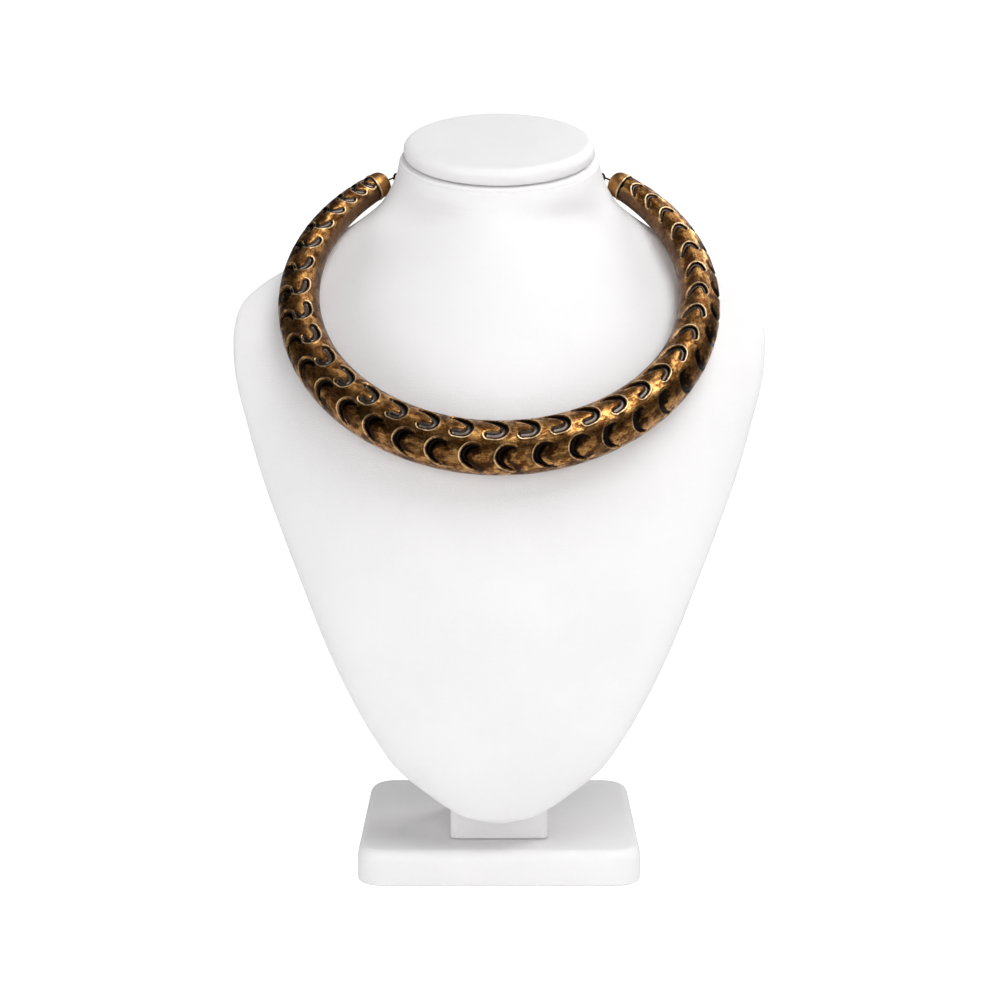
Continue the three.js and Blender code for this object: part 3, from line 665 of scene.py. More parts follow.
def groove(row, along, half_length, radius, section_angle):
    """A row of grooves: depth, distance from the border (below 0 inside), outer side, and way to the tail."""
    count, pitch = crescents_to(row, along, half_length)
    path = groove_path(row, along / half_length)
    arc = np.radians(1) * radius / MM
    x, y, half = path[..., 0] * pitch[:, None], path[..., 1] * arc[:, None], path[..., 2]
    way = np.stack([np.gradient(x, axis=1), np.gradient(y, axis=1)], axis=-1)
    way /= np.linalg.norm(way, axis=-1, keepdims=True)
    first_end, last_end = row["ends"]
    end_share = np.interp(np.arange(PATH_STEPS) / (PATH_STEPS - 1), END_FADE, (first_end, 1, 1, last_end))
    best = None
    for nearest in (-1, 0, 1):
        here = (count - np.round(count) - nearest) * pitch
        off_x = here[:, None, None] - x[:, None]
        off_y = (section_angle[None, :] * arc[:, None])[..., None] - y[:, None]
        off = np.hypot(off_x, off_y)
        border = off - half[:, None]
        step = border.argmin(-1)[..., None]
        left_of = way[:, None, :, 0] * off_y - way[:, None, :, 1] * off_x
        read = (border, off / half[:, None], row["facing"] * left_of / np.maximum(off, 1e-6))
        found = [np.take_along_axis(values, step, -1)[..., 0] for values in read]
        found += [end_share[step[..., 0]], step[..., 0] / (PATH_STEPS - 1)]
        if best is None:
            best = found
        else:
            nearer = found[0] < best[0]
            best = [np.where(nearer, new, old) for new, old in zip(found, best)]
    border, share_off, side, end, to_tail = best
    outer = smoothstep(-SIDE_TURN, SIDE_TURN, side)
    steep = 1 - smoothstep(*STEEP_WALL, share_off)
    gentle = 1 - smoothstep(row["slope"], GENTLE_END, share_off)
    return mix(gentle, steep, outer) * end, border, outer, to_tail


def stamped_rows(along, half_length, plain_radius, section_angle):
    """The tube's radius at each point with its rows stamped in, and the marks of both rows."""
    collar = bpy.context.scene.choker_collar
    size = (plain_radius / collar.front_radius)[:, None]
    radius = np.repeat(plain_radius[:, None], len(section_angle), axis=1)
    marks = {}
    for name, row in (("inner", INNER_ROW), ("outer", OUTER_ROW)):
        pit, border, outer, to_tail = groove(row, along, half_length, plain_radius, section_angle)
        tables = (row["depth"], *row["rims"])
        read = [np.interp(along / half_length, ROW_PLACES, values)[:, None] for values in tables]
        depth, upper, centre, tail = read
        lower = np.clip(2 * to_tail - 1, 0, 1)
        strength = mix(mix(upper, centre, np.clip(2 * to_tail, 0, 1)), tail, lower)
        rim = np.exp(-(((border - RIM_OUT * size) / RIM_SPREAD) ** 2)) * smoothstep(*RIM_SIDE, outer)
        radius += size * (rim * strength * RIM_HEIGHT * MM - pit * depth * collar.depth)
        marks[name + "_pit"] = pit
        # The bright line's strength: worn rims with a painted highlight, on their outer side only.
        marks[name + "_rim"] = strength * smoothstep(*RIM_HIGHLIGHT_SIDE, outer)
        marks[name + "_border"] = np.clip(border, -BORDER_REACH, BORDER_REACH)
        marks[name + "_side"] = outer
    return radius, marks


def plain_marks(along, half_length, plain_radius, section_angle):
    """Marks that follow the tube alone: its seam, bands of painted shade, joints and place on the
    straightened tube.
    """
    every = np.zeros((len(along), len(section_angle)))
    turn = np.radians(section_angle)
    flat = plain_radius[:, None] / MM
    front = 1 - smoothstep(*LOW_SHADE_FADES, abs(along) / half_length)
    joint = smoothstep(half_length - CAP_JOINT[0], half_length - CAP_JOINT[1], abs(along))
    # Painted shade on the low front of the tube, fading towards its ends.
    low = smoothstep(*LOW_SHADE_BEGINS, section_angle) * (1 - smoothstep(*LOW_SHADE_ENDS, section_angle))
    straight = [along[:, None] / MM + every, flat * np.cos(turn), flat * np.sin(turn)]
    return {
        "seam": np.exp(-(((section_angle - SEAM_ANGLE) / SEAM_SPREAD) ** 2)) + every,
        # Painted shade on the band towards the neck.
        "band_shade": smoothstep(*BAND_SHADE_BEGINS, section_angle) * (1 - smoothstep(*BAND_SHADE_ENDS, section_angle)) + every,
        "low": low * front[:, None],
        "gap": joint[:, None] + every,
        "straight": np.stack(straight, axis=-1),
    }


class ChokerMakeCollar(bpy.types.Operator):
    """Makes the tapered tube with its two rows of stamped crescents"""

    bl_idname = "object.choker_make_collar"
    bl_label = "Collar"

    def execute(self, context):
        collar = context.scene.choker_collar
        turns, runs, half_length = collar_line()
        reach = half_length - SEAT_GAP
        along = np.linspace(-reach, reach, 2 * round(reach / RING_SPACING) + 1)
        relief = np.linspace(RELIEF_FROM, RELIEF_TO, RELIEF_COLUMNS, endpoint=False)
        plain = np.linspace(RELIEF_TO, RELIEF_FROM + 360, PLAIN_COLUMNS, endpoint=False)
        section_angle = np.concatenate([relief, plain])
        share = abs(along) / half_length
        plain_radius = mix(collar.end_radius, collar.front_radius, np.cos(pi / 2 * share))
        radius, marks = stamped_rows(along, half_length, plain_radius, section_angle)
        marks |= plain_marks(along, half_length, plain_radius, section_angle)
        radius -= marks["seam"] * SEAM_DEPTH
        rings = tube_points(along, radius, section_angle, turns, runs)
        outward = {name: values[:, ::-1] for name, values in marks.items()}
        skin = ring_skin("collar_skin", rings[:, ::-1], **outward)
        dress(skin, stamped_brass(), "antique_brass", "collar")
        return {"FINISHED"}


def loop_frame(along, turns, runs):
    """Centre, forward and outward directions, and the plane's normal, at distances along the tube."""
    collar = bpy.context.scene.choker_collar
    turn = np.sign(along) * np.interp(abs(along), runs, turns)
    slope = np.array([0, cos(collar.tilt), sin(collar.tilt)])
    normal = np.array([0, -sin(collar.tilt), cos(collar.tilt)])
    right = np.array([1.0, 0, 0])
    start = np.array([0, DEPTH_MIDDLE - collar.front_reach, collar.front_height])
    half_width, half_depth = collar.loop_width / 2, collar.loop_depth / 2
    centre = start + np.outer(half_width * np.sin(turn), right)
    centre = centre + np.outer(half_depth * (1 - np.cos(turn)), slope)
    ahead = np.outer(half_width * np.cos(turn), right) + np.outer(half_depth * np.sin(turn), slope)
    ahead /= np.linalg.norm(ahead, axis=1, keepdims=True)
    return centre, ahead, np.cross(ahead, normal), normal


def tube_points(along, radius, section_angle, turns, runs):
    """Points of the tube's skin, ring by ring."""
    centre, _, outward, normal = loop_frame(along, turns, runs)
    turn = np.radians(section_angle)[None, :, None]
    radial = np.cos(turn) * outward[:, None] + np.sin(turn) * normal
    return centre[:, None] + radius[..., None] * radial


# End caps, chain and clasp

CAP_LENGTH = 6.6 * MM
LIP_TOP = 0.65 * MM
STEM_RADIUS = 0.38 * MM
STEM_SINK = 1.0 * MM
EYE_RADIUS = 1.5 * MM
EYE_WIRE = 0.45 * MM
LINK_LENGTH = 7.4 * MM
LINK_WIDTH = 4.4 * MM
LINK_WIRE = 0.55 * MM
LINK_SEGMENTS = 36
LINK_SPLIT = 0.3 * MM
CLASP_EDGE = 0.25 * MM

# The cup's outline as radius and distance from its lip, in millimetres, from the bore to the closed end.
CAP_OUTLINE = (
    (0.0, 3.4), (4.5, 3.4), (4.5, 0.12), (4.62, 0.0), (5.3, 0.0), (5.44, 0.1), (5.5, 0.3), (5.5, 0.5),
    (5.42, 0.7), (5.3, 0.82), (5.2, 0.9), (5.22, 1.1), (5.2, 2.2), (5.1, 3.2), (4.9, 4.1), (4.55, 4.9),
    (4.1, 5.5), (3.5, 6.0), (2.8, 6.35), (2.1, 6.53), (1.5, 6.6), (0.0, 6.6),
)


def lathe(name, outline, steps):
    """Spins an outline of radius and height round Z."""
    mesh = bpy.data.meshes.new(name)
    points = [(radius * MM, 0, z * MM) for radius, z in outline]
    mesh.from_pydata(points, [(i, i + 1) for i in range(len(points) - 1)], [])
    piece = bpy.data.objects.new(name, mesh)
    bpy.context.scene.collection.objects.link(piece)
    make_active(piece)
    bpy.ops.object.mode_set(mode="EDIT")
    bpy.ops.mesh.select_all(action="SELECT")
    bpy.ops.mesh.spin(steps=steps, angle=2 * pi, center=(0, 0, 0), axis=(0, 0, 1))
    bpy.ops.object.mode_set(mode="OBJECT")
    tidy_normals(piece)
    return piece


def frame_matrix(origin, x_axis, y_axis, z_axis):
    """A place and a turn, from an origin and three axes."""
    columns = [Vector(axis).normalized() for axis in (x_axis, y_axis, z_axis)]
    return Matrix.Translation(origin) @ Matrix(columns).transposed().to_4x4()


def eye_place(side):
    """Middle of the cap's eye and the way of the chain there, from the first link."""
    centre, axes = axes_of("chain_link_right_01" if side > 0 else "chain_link_left_01")
    way = Vector(axes[0])
    if way.y < 0:
        way.negate()
    return Vector(centre) - way * (LINK_LENGTH / 2 - LINK_WIRE), way


def lip_frame(side):
    """Middle of the tube's end, the way out of it, and the plane's normal."""
    turns, runs, half_length = collar_line()
    centre, ahead, _, normal = loop_frame(np.array([side * half_length]), turns, runs)
    return centre[0], ahead[0] * side, normal


def make_cup(name, centre, away, normal):
    """The cup, with marks for its lip (its wear and painted highlight) and for the cup itself."""
    cup = lathe(name, CAP_OUTLINE, 72)
    lip_wear_and_highlight = cup.data.attributes.new("lip_wear_and_highlight", "FLOAT", "POINT")
    lip_wear_and_highlight.data.foreach_set("value", [1.0 if vertex.co.z < LIP_TOP else 0.0 for vertex in cup.data.vertices])
    body = cup.data.attributes.new("cup", "FLOAT", "POINT")
    body.data.foreach_set("value", [1.0] * len(cup.data.vertices))
    place_by(cup, frame_matrix(centre, np.cross(normal, away), normal, away))
    return cup


def make_stem(name, start, end):
    """The straight wire from the closed end to the eye, sunk a little into the cup."""
    way = (end - start).normalized()
    across = way.cross(UP).normalized()
    bpy.ops.mesh.primitive_cylinder_add(
        vertices=20, radius=STEM_RADIUS, depth=(end - start).length + STEM_SINK
    )
    stem = newest(name)
    middle_place = (start - way * STEM_SINK + end) / 2
    place_by(stem, frame_matrix(middle_place, across, way.cross(across), way))
    return stem


def make_cap(side):
    """One end cap: its cup, stem and eye in one piece."""
    word = "right" if side > 0 else "left"
    centre, away, normal = lip_frame(side)
    cup = make_cup("cap_cup_" + word, centre, away, normal)
    eye_middle, chain_way = eye_place(side)
    closed_end = Vector(centre) + Vector(away) * CAP_LENGTH
    stem = make_stem("cap_stem_" + word, closed_end, eye_middle - chain_way * EYE_RADIUS)
    bpy.ops.mesh.primitive_torus_add(
        major_segments=40, minor_segments=14, major_radius=EYE_RADIUS, minor_radius=EYE_WIRE
    )
    eye = newest("cap_eye_" + word)
    place_by(eye, frame_matrix(eye_middle, chain_way, UP, chain_way.cross(UP)))
    cap = join_pieces("end_cap_brass_" + word, [cup, stem, eye])
    smooth(cap, radians(35))
    dress(cap, cap_brass(), "antique_brass", "end_cap_" + word)


class ChokerMakeCaps(bpy.types.Operator):
    """Makes the two end caps with their wire eyes"""

    bl_idname = "object.choker_make_caps"
    bl_label = "End caps"

    def execute(self, context):
        for side in (-1, 1):
            make_cap(side)
        return {"FINISHED"}


def axes_of(node):
    """Middle, long, wide and thin directions of a solid."""
    points = np.array([v.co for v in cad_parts[node].data.vertices])
    centre = (points.min(0) + points.max(0)) / 2
    _, _, axes = np.linalg.svd(np.unique(points.round(7), axis=0) - centre, full_matrices=False)
    return centre, axes


def make_link():
    """One link at the origin: a wire ring whose halves are pulled apart along X."""
    deselect_all()
    bpy.ops.mesh.primitive_torus_add(
        major_segments=LINK_SEGMENTS,
        minor_segments=14,
        major_radius=LINK_WIDTH / 2 - LINK_WIRE,
        minor_radius=LINK_WIRE,
        rotation=(0, 0, pi / LINK_SEGMENTS),
    )
    link = newest("link_model")
    apply_place(link)
    for side in (-1, 1):
        pick(link, faces=lambda face: side * face.calc_center_median().x > LINK_SPLIT)
        bpy.ops.transform.translate(value=(side * (LINK_LENGTH - LINK_WIDTH) / 2, 0, 0))
        bpy.ops.object.mode_set(mode="OBJECT")
    smooth(link, radians(80))
    return link


def finish_clasp():
    """Softens the clasp's edges and gives it its brass."""
    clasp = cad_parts["clasp"]
    weld = clasp.modifiers.new("Weld", "WELD")
    weld.merge_threshold = SAME_PLACE
    bevel = clasp.modifiers.new("Bevel", "BEVEL")
    bevel.width = CLASP_EDGE
    bevel.segments = 3
    bevel.limit_method = "ANGLE"
    clasp.data.materials.clear()
    clasp.data.materials.append(chain_brass())


class ChokerMakeChain(bpy.types.Operator):
    """Makes the links behind the neck and finishes the clasp plate"""

    bl_idname = "object.choker_make_chain"
    bl_label = "Chain and clasp"

    def execute(self, context):
        model = make_link()
        for node in sorted(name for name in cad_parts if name.startswith("chain_link")):
            centre, axes = axes_of(node)
            link = copy_of(model, node.replace("chain_link", "wire_link"))
            place_by(link, frame_matrix(centre, axes[0], axes[1], np.cross(axes[0], axes[1])))
            dress(link, chain_brass(), "dark_brass", node)
        bpy.data.objects.remove(model)
        finish_clasp()
        return {"FINISHED"}


# Materials

def new_material(name):
    material = bpy.data.materials.get(name)
    if material:
        return material, None
    material = bpy.data.materials.new(name)
    material.use_nodes = True
    return material, Nodes(material.node_tree)


class Nodes:
    """Short ways to add and link nodes in a tree."""

    def __init__(self, tree):
        self.tree = tree
        self.shader = tree.nodes.get("Principled BSDF")

    def add(self, kind, links=None, **settings):
        node = self.tree.nodes.new(kind)
        for name, value in settings.items():
            setattr(node, name, value)
        for socket, value in (links or {}).items():
            self.put(node.inputs[socket], value)
        return node

    def put(self, socket, value):
        """Links an output to a socket, or sets the socket to a plain value."""
        if isinstance(value, bpy.types.NodeSocket):
            self.tree.links.new(value, socket)
        else:
            socket.default_value = value

    def mark(self, name):
        """A float mark of the mesh."""
        return self.add("ShaderNodeAttribute", attribute_name=name).outputs["Fac"]

    def noise(self, vector, scale, detail, roughness):
        links = {"Vector": vector, "Scale": scale, "Detail": detail, "Roughness": roughness}
        return self.add("ShaderNodeTexNoise", links).outputs["Fac"]

    def scaled(self, vector, scale):
        return self.add("ShaderNodeMapping", {"Vector": vector, "Scale": scale}).outputs["Vector"]

    def span(self, value, low, high, out_low=0.0, out_high=1.0):
        """A value eased from one span to another."""
        links = {"Value": value, "From Min": low, "From Max": high, "To Min": out_low, "To Max": out_high}
        return self.add("ShaderNodeMapRange", links, interpolation_type="SMOOTHSTEP").outputs["Result"]

    def math(self, operation, first, second=0.5, clamp=False):
        node = self.add("ShaderNodeMath", operation=operation, use_clamp=clamp)
        self.put(node.inputs[0], first)
        self.put(node.inputs[1], second)
        return node.outputs[0]

    def weigh(self, first, first_share, second, second_share, clamp=False):
        """The sum of two values, each times its share."""
        parts = [self.math("MULTIPLY", first, first_share), self.math("MULTIPLY", second, second_share)]
        return self.math("ADD", *parts, clamp=clamp)

    def blend(self, share, first, second):
        """One colour over another by a share."""
        node = self.add("ShaderNodeMix", data_type="RGBA")
        self.put(node.inputs[0], share)
        self.put(node.inputs[6], first)
        self.put(node.inputs[7], second)
        return node.outputs[2]

    def object_place(self):
        return self.add("ShaderNodeTexCoord").outputs["Object"]

    def finish(self, tint, rough, height, strength, distance):
        """Colour, roughness and bump of the material's shader."""
        bump = self.add("ShaderNodeBump", {"Height": height, "Strength": strength, "Distance": distance})
        self.put(self.shader.inputs["Base Color"], tint)
        self.put(self.shader.inputs["Roughness"], rough)
        self.put(self.shader.inputs["Normal"], bump.outputs["Normal"])


def rgba(tint):
    return (*tint, 1.0)


def age_group():
    """Node group: tarnish blotches, fine streaks and wide stains over a metal, from places in millimetres."""
    tree = bpy.data.node_groups.get("brass_age")
    if tree:
        return tree
    tree = bpy.data.node_groups.new("brass_age", "ShaderNodeTree")
    tree.interface.new_socket("Place", in_out="INPUT", socket_type="NodeSocketVector")
    for name in ("Tarnish", "Streaks", "Stains"):
        tree.interface.new_socket(name, in_out="OUTPUT", socket_type="NodeSocketFloat")
    nodes = Nodes(tree)
    place = nodes.add("NodeGroupInput").outputs["Place"]
    blotch = nodes.noise(place, 0.3, 3.0, 0.55)
    speck = nodes.noise(place, 1.4, 3.0, 0.55)
    streak = nodes.noise(nodes.scaled(place, (0.45, 2.6, 2.6)), 0.9, 4.0, 0.65)
    stain = nodes.noise(nodes.scaled(place, (0.2, 0.26, 0.26)), 1.0, 4.0, 0.58)
    tarnish = nodes.weigh(blotch, 0.7, speck, 0.3)
    spread = {
        "Tarnish": nodes.span(tarnish, 0.41, 0.59),
        "Streaks": nodes.span(streak, 0.4, 0.62),
        "Stains": nodes.span(stain, 0.44, 0.58),
    }
    nodes.add("NodeGroupOutput", spread)
    return tree


def age_of(nodes, place):
    """Tarnish, streaks and stains at a place."""
    age = nodes.add("ShaderNodeGroup", node_tree=age_group())
    nodes.put(age.inputs["Place"], place)
    return age.outputs["Tarnish"], age.outputs["Streaks"], age.outputs["Stains"]


# Spans of the collar's marks, each from where an effect starts to where it is whole: the painted shade on the
# outer wall and the bright rim line (wear and a painted highlight) by millimetres from a groove's border, and
# the rest by shares.
WALL_SHADE_SPAN = (-1.1, -0.45)
PIT_SPAN = (0.04, 0.55)
BEHIND_SPAN = (3.0, 0.3)
BEHIND_SIDE = (0.9, 0.2)
SEAM_SPAN = (0.3, 0.9)
LINE_PLACE = 0.2
LINE_CORE = 0.04
LINE_WIDTHS = {"inner": 0.34, "outer": 0.3}

# How far each effect goes.
LOW_SHADE_SHARE = 0.45
BAND_SHADE_SHARES = (0.95, 0.6)
STAINED_LINE = 0.45
RIM_HIGHLIGHT_METALLIC = 0.35
SMOOTH_PIT = 0.7


def stained_and_shaded_body(nodes, tarnish, streaks, stains):
    """Brass aged in blotches and streaks and stained behind the outer row, with painted shade under the front
    and on the inner band.
    """
    collar = bpy.context.scene.choker_collar
    worn = nodes.weigh(tarnish, 0.8, streaks, 0.45, clamp=True)
    body = nodes.blend(worn, rgba(collar.brass), rgba(collar.aged_brass))
    near = nodes.span(nodes.mark("outer_border"), *BEHIND_SPAN)
    behind = nodes.math("MULTIPLY", near, nodes.span(nodes.mark("outer_side"), *BEHIND_SIDE))
    dirt = nodes.math("ADD", nodes.math("MULTIPLY", behind, 0.6), 0.7)
    body = nodes.blend(nodes.math("MULTIPLY", dirt, stains, clamp=True), body, rgba(collar.stain))
    # Painted shade on the low front, in the stain colour.
    body = nodes.blend(nodes.math("MULTIPLY", nodes.mark("low"), LOW_SHADE_SHARE), body, rgba(collar.stain))
    # Painted shade on the inner band, mottled by the tarnish.
    band_shade = nodes.math("MULTIPLY", nodes.mark("band_shade"), nodes.span(tarnish, 0.0, 1.0, *BAND_SHADE_SHARES))
    return nodes.blend(band_shade, body, rgba(collar.shade))


def add_pits(nodes, body, name, floor):
    """Colours a row's grooves: painted shade, near-black, on the outer wall over the floor's tint."""
    patina = rgba(bpy.context.scene.choker_collar.patina)
    # Painted shade: near-black on the outer wall of the groove.
    dark = nodes.span(nodes.mark(name + "_border"), *WALL_SHADE_SPAN)
    painted_wall_shade = nodes.math("MULTIPLY", dark, nodes.mark(name + "_side"))
    inside = nodes.blend(painted_wall_shade, rgba(floor), patina)
    return nodes.blend(nodes.span(nodes.mark(name + "_pit"), *PIT_SPAN), body, inside)


def worn_rim_highlight_share(nodes, name):
    """Share of the bright line along a row's outer rims: wear and a painted highlight."""
    off = nodes.math("ABSOLUTE", nodes.math("SUBTRACT", nodes.mark(name + "_border"), LINE_PLACE))
    return nodes.math("MULTIPLY", nodes.span(off, LINE_WIDTHS[name], LINE_CORE), nodes.mark(name + "_rim"))


def stamped_brass():
    """Aged brass: near-black patina in the crescents with painted shade on their outer walls, worn rims with
    a painted highlight, stained round them, and painted shade on the low front and inner band.
    """
    material, nodes = new_material("stamped_brass")
    if not nodes:
        return material
    collar = bpy.context.scene.choker_collar
    straight = nodes.add("ShaderNodeAttribute", attribute_name="straight").outputs["Vector"]
    tarnish, streaks, stains = age_of(nodes, straight)
    body = stained_and_shaded_body(nodes, tarnish, streaks, stains)
    body = add_pits(nodes, body, "inner", collar.bronze)
    body = add_pits(nodes, body, "outer", collar.patina)
    # Worn rims with a painted highlight, dimmer where stained.
    rims = nodes.math("MAXIMUM", worn_rim_highlight_share(nodes, "inner"), worn_rim_highlight_share(nodes, "outer"))
    rims = nodes.math("MULTIPLY", rims, nodes.span(stains, 0.3, 1.0, 1.0, STAINED_LINE))
    body = nodes.blend(rims, body, rgba(collar.rim))
    dark = nodes.math("MAXIMUM", nodes.span(nodes.mark("seam"), *SEAM_SPAN), nodes.mark("gap"))
    body = nodes.blend(dark, body, rgba(collar.patina))
    # Less metallic on the bright line, so its pale colour shows as a painted highlight.
    nodes.put(nodes.shader.inputs["Metallic"], nodes.span(rims, 0.0, 1.0, 1.0, RIM_HIGHLIGHT_METALLIC))
    rough = nodes.math("ADD", nodes.span(tarnish, 0.0, 1.0, 0.27, 0.4), nodes.math("MULTIPLY", stains, 0.15))
    rough = nodes.math("MULTIPLY", rough, nodes.span(nodes.mark("inner_pit"), 0.3, 0.9, 1.0, SMOOTH_PIT))
    nodes.finish(body, rough, nodes.weigh(tarnish, 0.5, streaks, 0.5), 0.16, 0.12 * MM)
    return material


def smooth_brass(name, shares, roughs, has_cup=False):
    """Plain aged brass without relief, between two shares of ageing and two roughnesses."""
    material, nodes = new_material(name)
    if not nodes:
        return material
    collar = bpy.context.scene.choker_collar
    bright, dull = ([mix(a, b, share) for a, b in zip(collar.brass, collar.aged_brass)] for share in shares)
    tarnish, streaks, _ = age_of(nodes, nodes.scaled(nodes.object_place(), (1 / MM, 1 / MM, 1 / MM)))
    body = nodes.blend(nodes.math("MULTIPLY", tarnish, 0.6), rgba(bright), rgba(dull))
    if has_cup:
        body = nodes.blend(nodes.mark("cup"), rgba(collar.stain), body)
        # The lip is painted the rim colour: wear and a painted highlight on its bead.
        body = nodes.blend(nodes.math("MULTIPLY", nodes.mark("lip_wear_and_highlight"), 0.7), body, rgba(collar.rim))
    nodes.shader.inputs["Metallic"].default_value = 1.0
    nodes.finish(body, nodes.span(tarnish, 0, 1, *roughs), streaks, 0.12, 0.06 * MM)
    return material


def cap_brass():
    """Brass of the cups, with dark wire and a bright lip of wear and a painted highlight."""
    return smooth_brass("cap_brass", (0.4, 0.85), (0.32, 0.42), has_cup=True)


def chain_brass():
    return smooth_brass("chain_brass", (0.6, 1.0), (0.3, 0.45))


def leatherette():
    """White embossed leatherette with a fine crinkled grain."""
    material, nodes = new_material("white_cover")
    if not nodes:
        return material
    cover = bpy.context.scene.choker_stand.cover
    soft = [value * 0.965 for value in cover]
    place = nodes.object_place()
    pore = nodes.add("ShaderNodeTexVoronoi", {"Vector": place, "Scale": 1150.0}, feature="DISTANCE_TO_EDGE")
    crinkle = nodes.noise(nodes.scaled(place, (0.35, 0.35, 1.0)), 420.0, 4.0, 0.6)
    cloud = nodes.noise(place, 22.0, 3.0, 0.5)
    tint = nodes.blend(nodes.span(cloud, 0.3, 0.7), rgba(cover), rgba(soft))
    height = nodes.weigh(nodes.span(pore.outputs["Distance"], 0.0, 0.25), 0.35, crinkle, 1.0)
    nodes.finish(tint, nodes.span(crinkle, 0.3, 0.7, 0.5, 0.62), height, 0.5, 0.2 * MM)
    return material


# Stage

# Lights round the bust, in metres and watts, all aimed at its middle. Only the bright soft boxes are mirrored
# by the brass.
LIGHTS = {
    "key_light": dict(place=(0.4, -0.68, 1.12), width=0.75, height=0.6, power=6.2, mirrored=True),
    "top_light": dict(place=(0.2, -0.25, 1.15), width=0.45, height=0.35, power=1.8, mirrored=True),
    "back_light": dict(place=(0.55, 0.5, 0.85), width=0.5, height=0.5, power=3.2, mirrored=True),
    "back_fill": dict(place=(-0.6, 0.55, 0.6), width=0.5, height=0.5, power=0.6, mirrored=False),
    "left_fill": dict(place=(-1.0, -0.3, 0.25), width=0.4, height=0.5, power=3.3, mirrored=False),
    "right_fill": dict(place=(1.0, -0.3, 0.3), width=0.4, height=0.5, power=1.2, mirrored=False),
    "front_fill": dict(place=(0.1, -1.05, 0.35), width=0.5, height=0.5, power=3.6, mirrored=False),
}
AIM_HEIGHT = 0.17

# The metal mirrors a dark room with a glow on one side of its ceiling. All other light of the room is even.
DARK_ROOM = (0.06, 0.054, 0.05, 1)
CEILING_GLOW = (0.55, 0.52, 0.48, 1)
GLOW_WAY = (0.45, -0.05, 0.89)
GLOW_SPAN = (0.7, 0.95)
SOFT_LIGHT = (0.18, 0.18, 0.18, 1)
BACKDROP = (1, 1, 1, 1)

SWEEP_HALF_WIDTH = 4.0
SWEEP_FRONT = -2.5
SWEEP_BACK = 1.6
SWEEP_RADIUS = 0.8
SWEEP_TOP = 4.0
SENSOR_WIDTH = 36.0
PICTURE_WIDTH = 1000.0


def area_light(name, place, width, height, power, mirrored):
    """A soft box aimed at the middle of the bust."""
    deselect_all()
    bpy.ops.object.light_add(type="AREA", location=place)
    light = bpy.context.object
    light.name = name
    light.data.shape = "RECTANGLE"
    light.data.size = width
    light.data.size_y = height
    light.data.energy = power
    light.visible_glossy = mirrored
    aim = Vector((0, DEPTH_MIDDLE, AIM_HEIGHT))
    light.rotation_euler = (aim - Vector(place)).to_track_quat("-Z", "Y").to_euler()


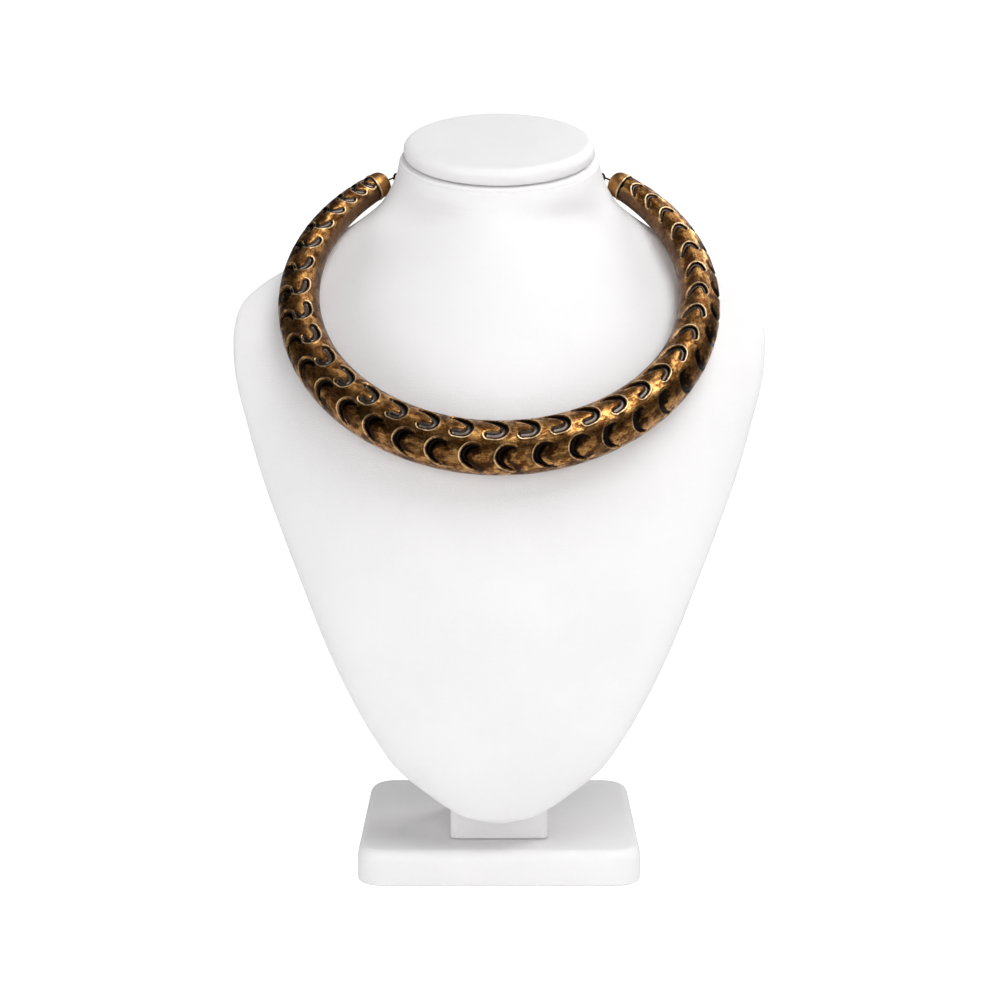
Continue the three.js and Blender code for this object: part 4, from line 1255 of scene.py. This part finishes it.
class ChokerMakeStage(bpy.types.Operator):
    """Makes the floor sweep, the studio light and the camera"""

    bl_idname = "scene.choker_make_stage"
    bl_label = "Stage"

    def execute(self, context):
        stage = context.scene.choker_stage
        self.add_sweep(context, stage)
        for name, light in LIGHTS.items():
            area_light(name, **light)
        self.light_room(context)
        context.scene.view_settings.view_transform = "Standard"
        self.add_camera(context, stage)
        return {"FINISHED"}

    def light_room(self, context):
        """The world: white to the camera, dark with a glow to the metal, and even soft light."""
        world = context.scene.world or bpy.data.worlds.new("studio")
        context.scene.world = world
        world.use_nodes = True
        nodes = Nodes(world.node_tree)
        path = nodes.add("ShaderNodeLightPath")
        way = nodes.add("ShaderNodeTexCoord").outputs["Generated"]
        links = {0: way, 1: Vector(GLOW_WAY).normalized()}
        toward = nodes.add("ShaderNodeVectorMath", links, operation="DOT_PRODUCT")
        glow = nodes.blend(nodes.span(toward.outputs["Value"], *GLOW_SPAN), DARK_ROOM, CEILING_GLOW)
        sky = nodes.blend(path.outputs["Is Glossy Ray"], SOFT_LIGHT, glow)
        sky = nodes.blend(path.outputs["Is Camera Ray"], sky, BACKDROP)
        nodes.put(world.node_tree.nodes["Background"].inputs["Color"], sky)

    def add_sweep(self, context, stage):
        """A floor that curves up into a backdrop."""
        bend = SWEEP_RADIUS
        rows = [(SWEEP_FRONT, 0.0), (SWEEP_BACK, 0.0)]
        rows += [(SWEEP_BACK + bend * sin(t), bend - bend * cos(t)) for t in np.linspace(0.1, pi / 2, 12)]
        rows += [(SWEEP_BACK + bend, SWEEP_TOP)]
        points = [(x, y, z) for y, z in rows for x in (-SWEEP_HALF_WIDTH, SWEEP_HALF_WIDTH)]
        faces = [(2 * i, 2 * i + 1, 2 * i + 3, 2 * i + 2) for i in range(len(rows) - 1)]
        mesh = bpy.data.meshes.new("floor_sweep")
        mesh.from_pydata(points, [], faces)
        mesh.polygons.foreach_set("use_smooth", [True] * len(faces))
        sweep = bpy.data.objects.new("floor_sweep", mesh)
        context.scene.collection.objects.link(sweep)
        material, nodes = new_material("pale_floor")
        nodes.shader.inputs["Base Color"].default_value = rgba(stage.floor)
        nodes.shader.inputs["Roughness"].default_value = 0.9
        nodes.shader.inputs["Emission Color"].default_value = rgba(stage.floor)
        seen = nodes.add("ShaderNodeLightPath").outputs["Is Camera Ray"]
        nodes.put(nodes.shader.inputs["Emission Strength"], seen)
        mesh.materials.append(material)

    def add_camera(self, context, stage):
        deselect_all()
        place = (0, DEPTH_MIDDLE - stage.distance, stage.camera_height)
        bpy.ops.object.camera_add(location=place, rotation=(pi / 2 - stage.pitch, 0, 0))
        camera = bpy.context.object
        camera.name = "photo_camera"
        camera.data.sensor_width = SENSOR_WIDTH
        camera.data.lens = SENSOR_WIDTH * stage.focal_pixels / PICTURE_WIDTH
        camera.data.shift_x = stage.shift_pixels / PICTURE_WIDTH
        camera.data.clip_start = 0.01
        context.scene.camera = camera


# Panel and registration

PIECES = (
    ChokerMakeBust,
    ChokerMakeNeckCap,
    ChokerMakePost,
    ChokerMakeBase,
    ChokerMakeCollar,
    ChokerMakeCaps,
    ChokerMakeChain,
    ChokerMakeStage,
)
SETTINGS = {"choker_collar": CollarSettings, "choker_stand": StandSettings, "choker_stage": StageSettings}


class ChokerPanel(bpy.types.Panel):
    """Lists the choker's settings and pieces"""

    bl_idname = "VIEW3D_PT_choker"
    bl_label = "Collar choker"
    bl_space_type = "VIEW_3D"
    bl_region_type = "UI"
    bl_category = "Choker"

    def draw(self, context):
        for name, kind in SETTINGS.items():
            box = self.layout.box()
            for setting in kind.__annotations__:
                box.prop(getattr(context.scene, name), setting)
        for piece in PIECES:
            self.layout.operator(piece.bl_idname, text=piece.bl_label)


def register():
    for kind in (*SETTINGS.values(), *PIECES, ChokerPanel):
        bpy.utils.register_class(kind)
    for name, kind in SETTINGS.items():
        setattr(bpy.types.Scene, name, bpy.props.PointerProperty(type=kind))


def unregister():
    for name in SETTINGS:
        delattr(bpy.types.Scene, name)
    for kind in reversed((*SETTINGS.values(), *PIECES, ChokerPanel)):
        bpy.utils.unregister_class(kind)


def main():
    register()
    bpy.ops.object.choker_make_bust()
    bpy.ops.object.choker_make_neck_cap()
    bpy.ops.object.choker_make_post()
    bpy.ops.object.choker_make_base()
    bpy.ops.object.choker_make_collar()
    bpy.ops.object.choker_make_caps()
    bpy.ops.object.choker_make_chain()
    bpy.ops.scene.choker_make_stage()


if __name__ == "__main__":
    main()
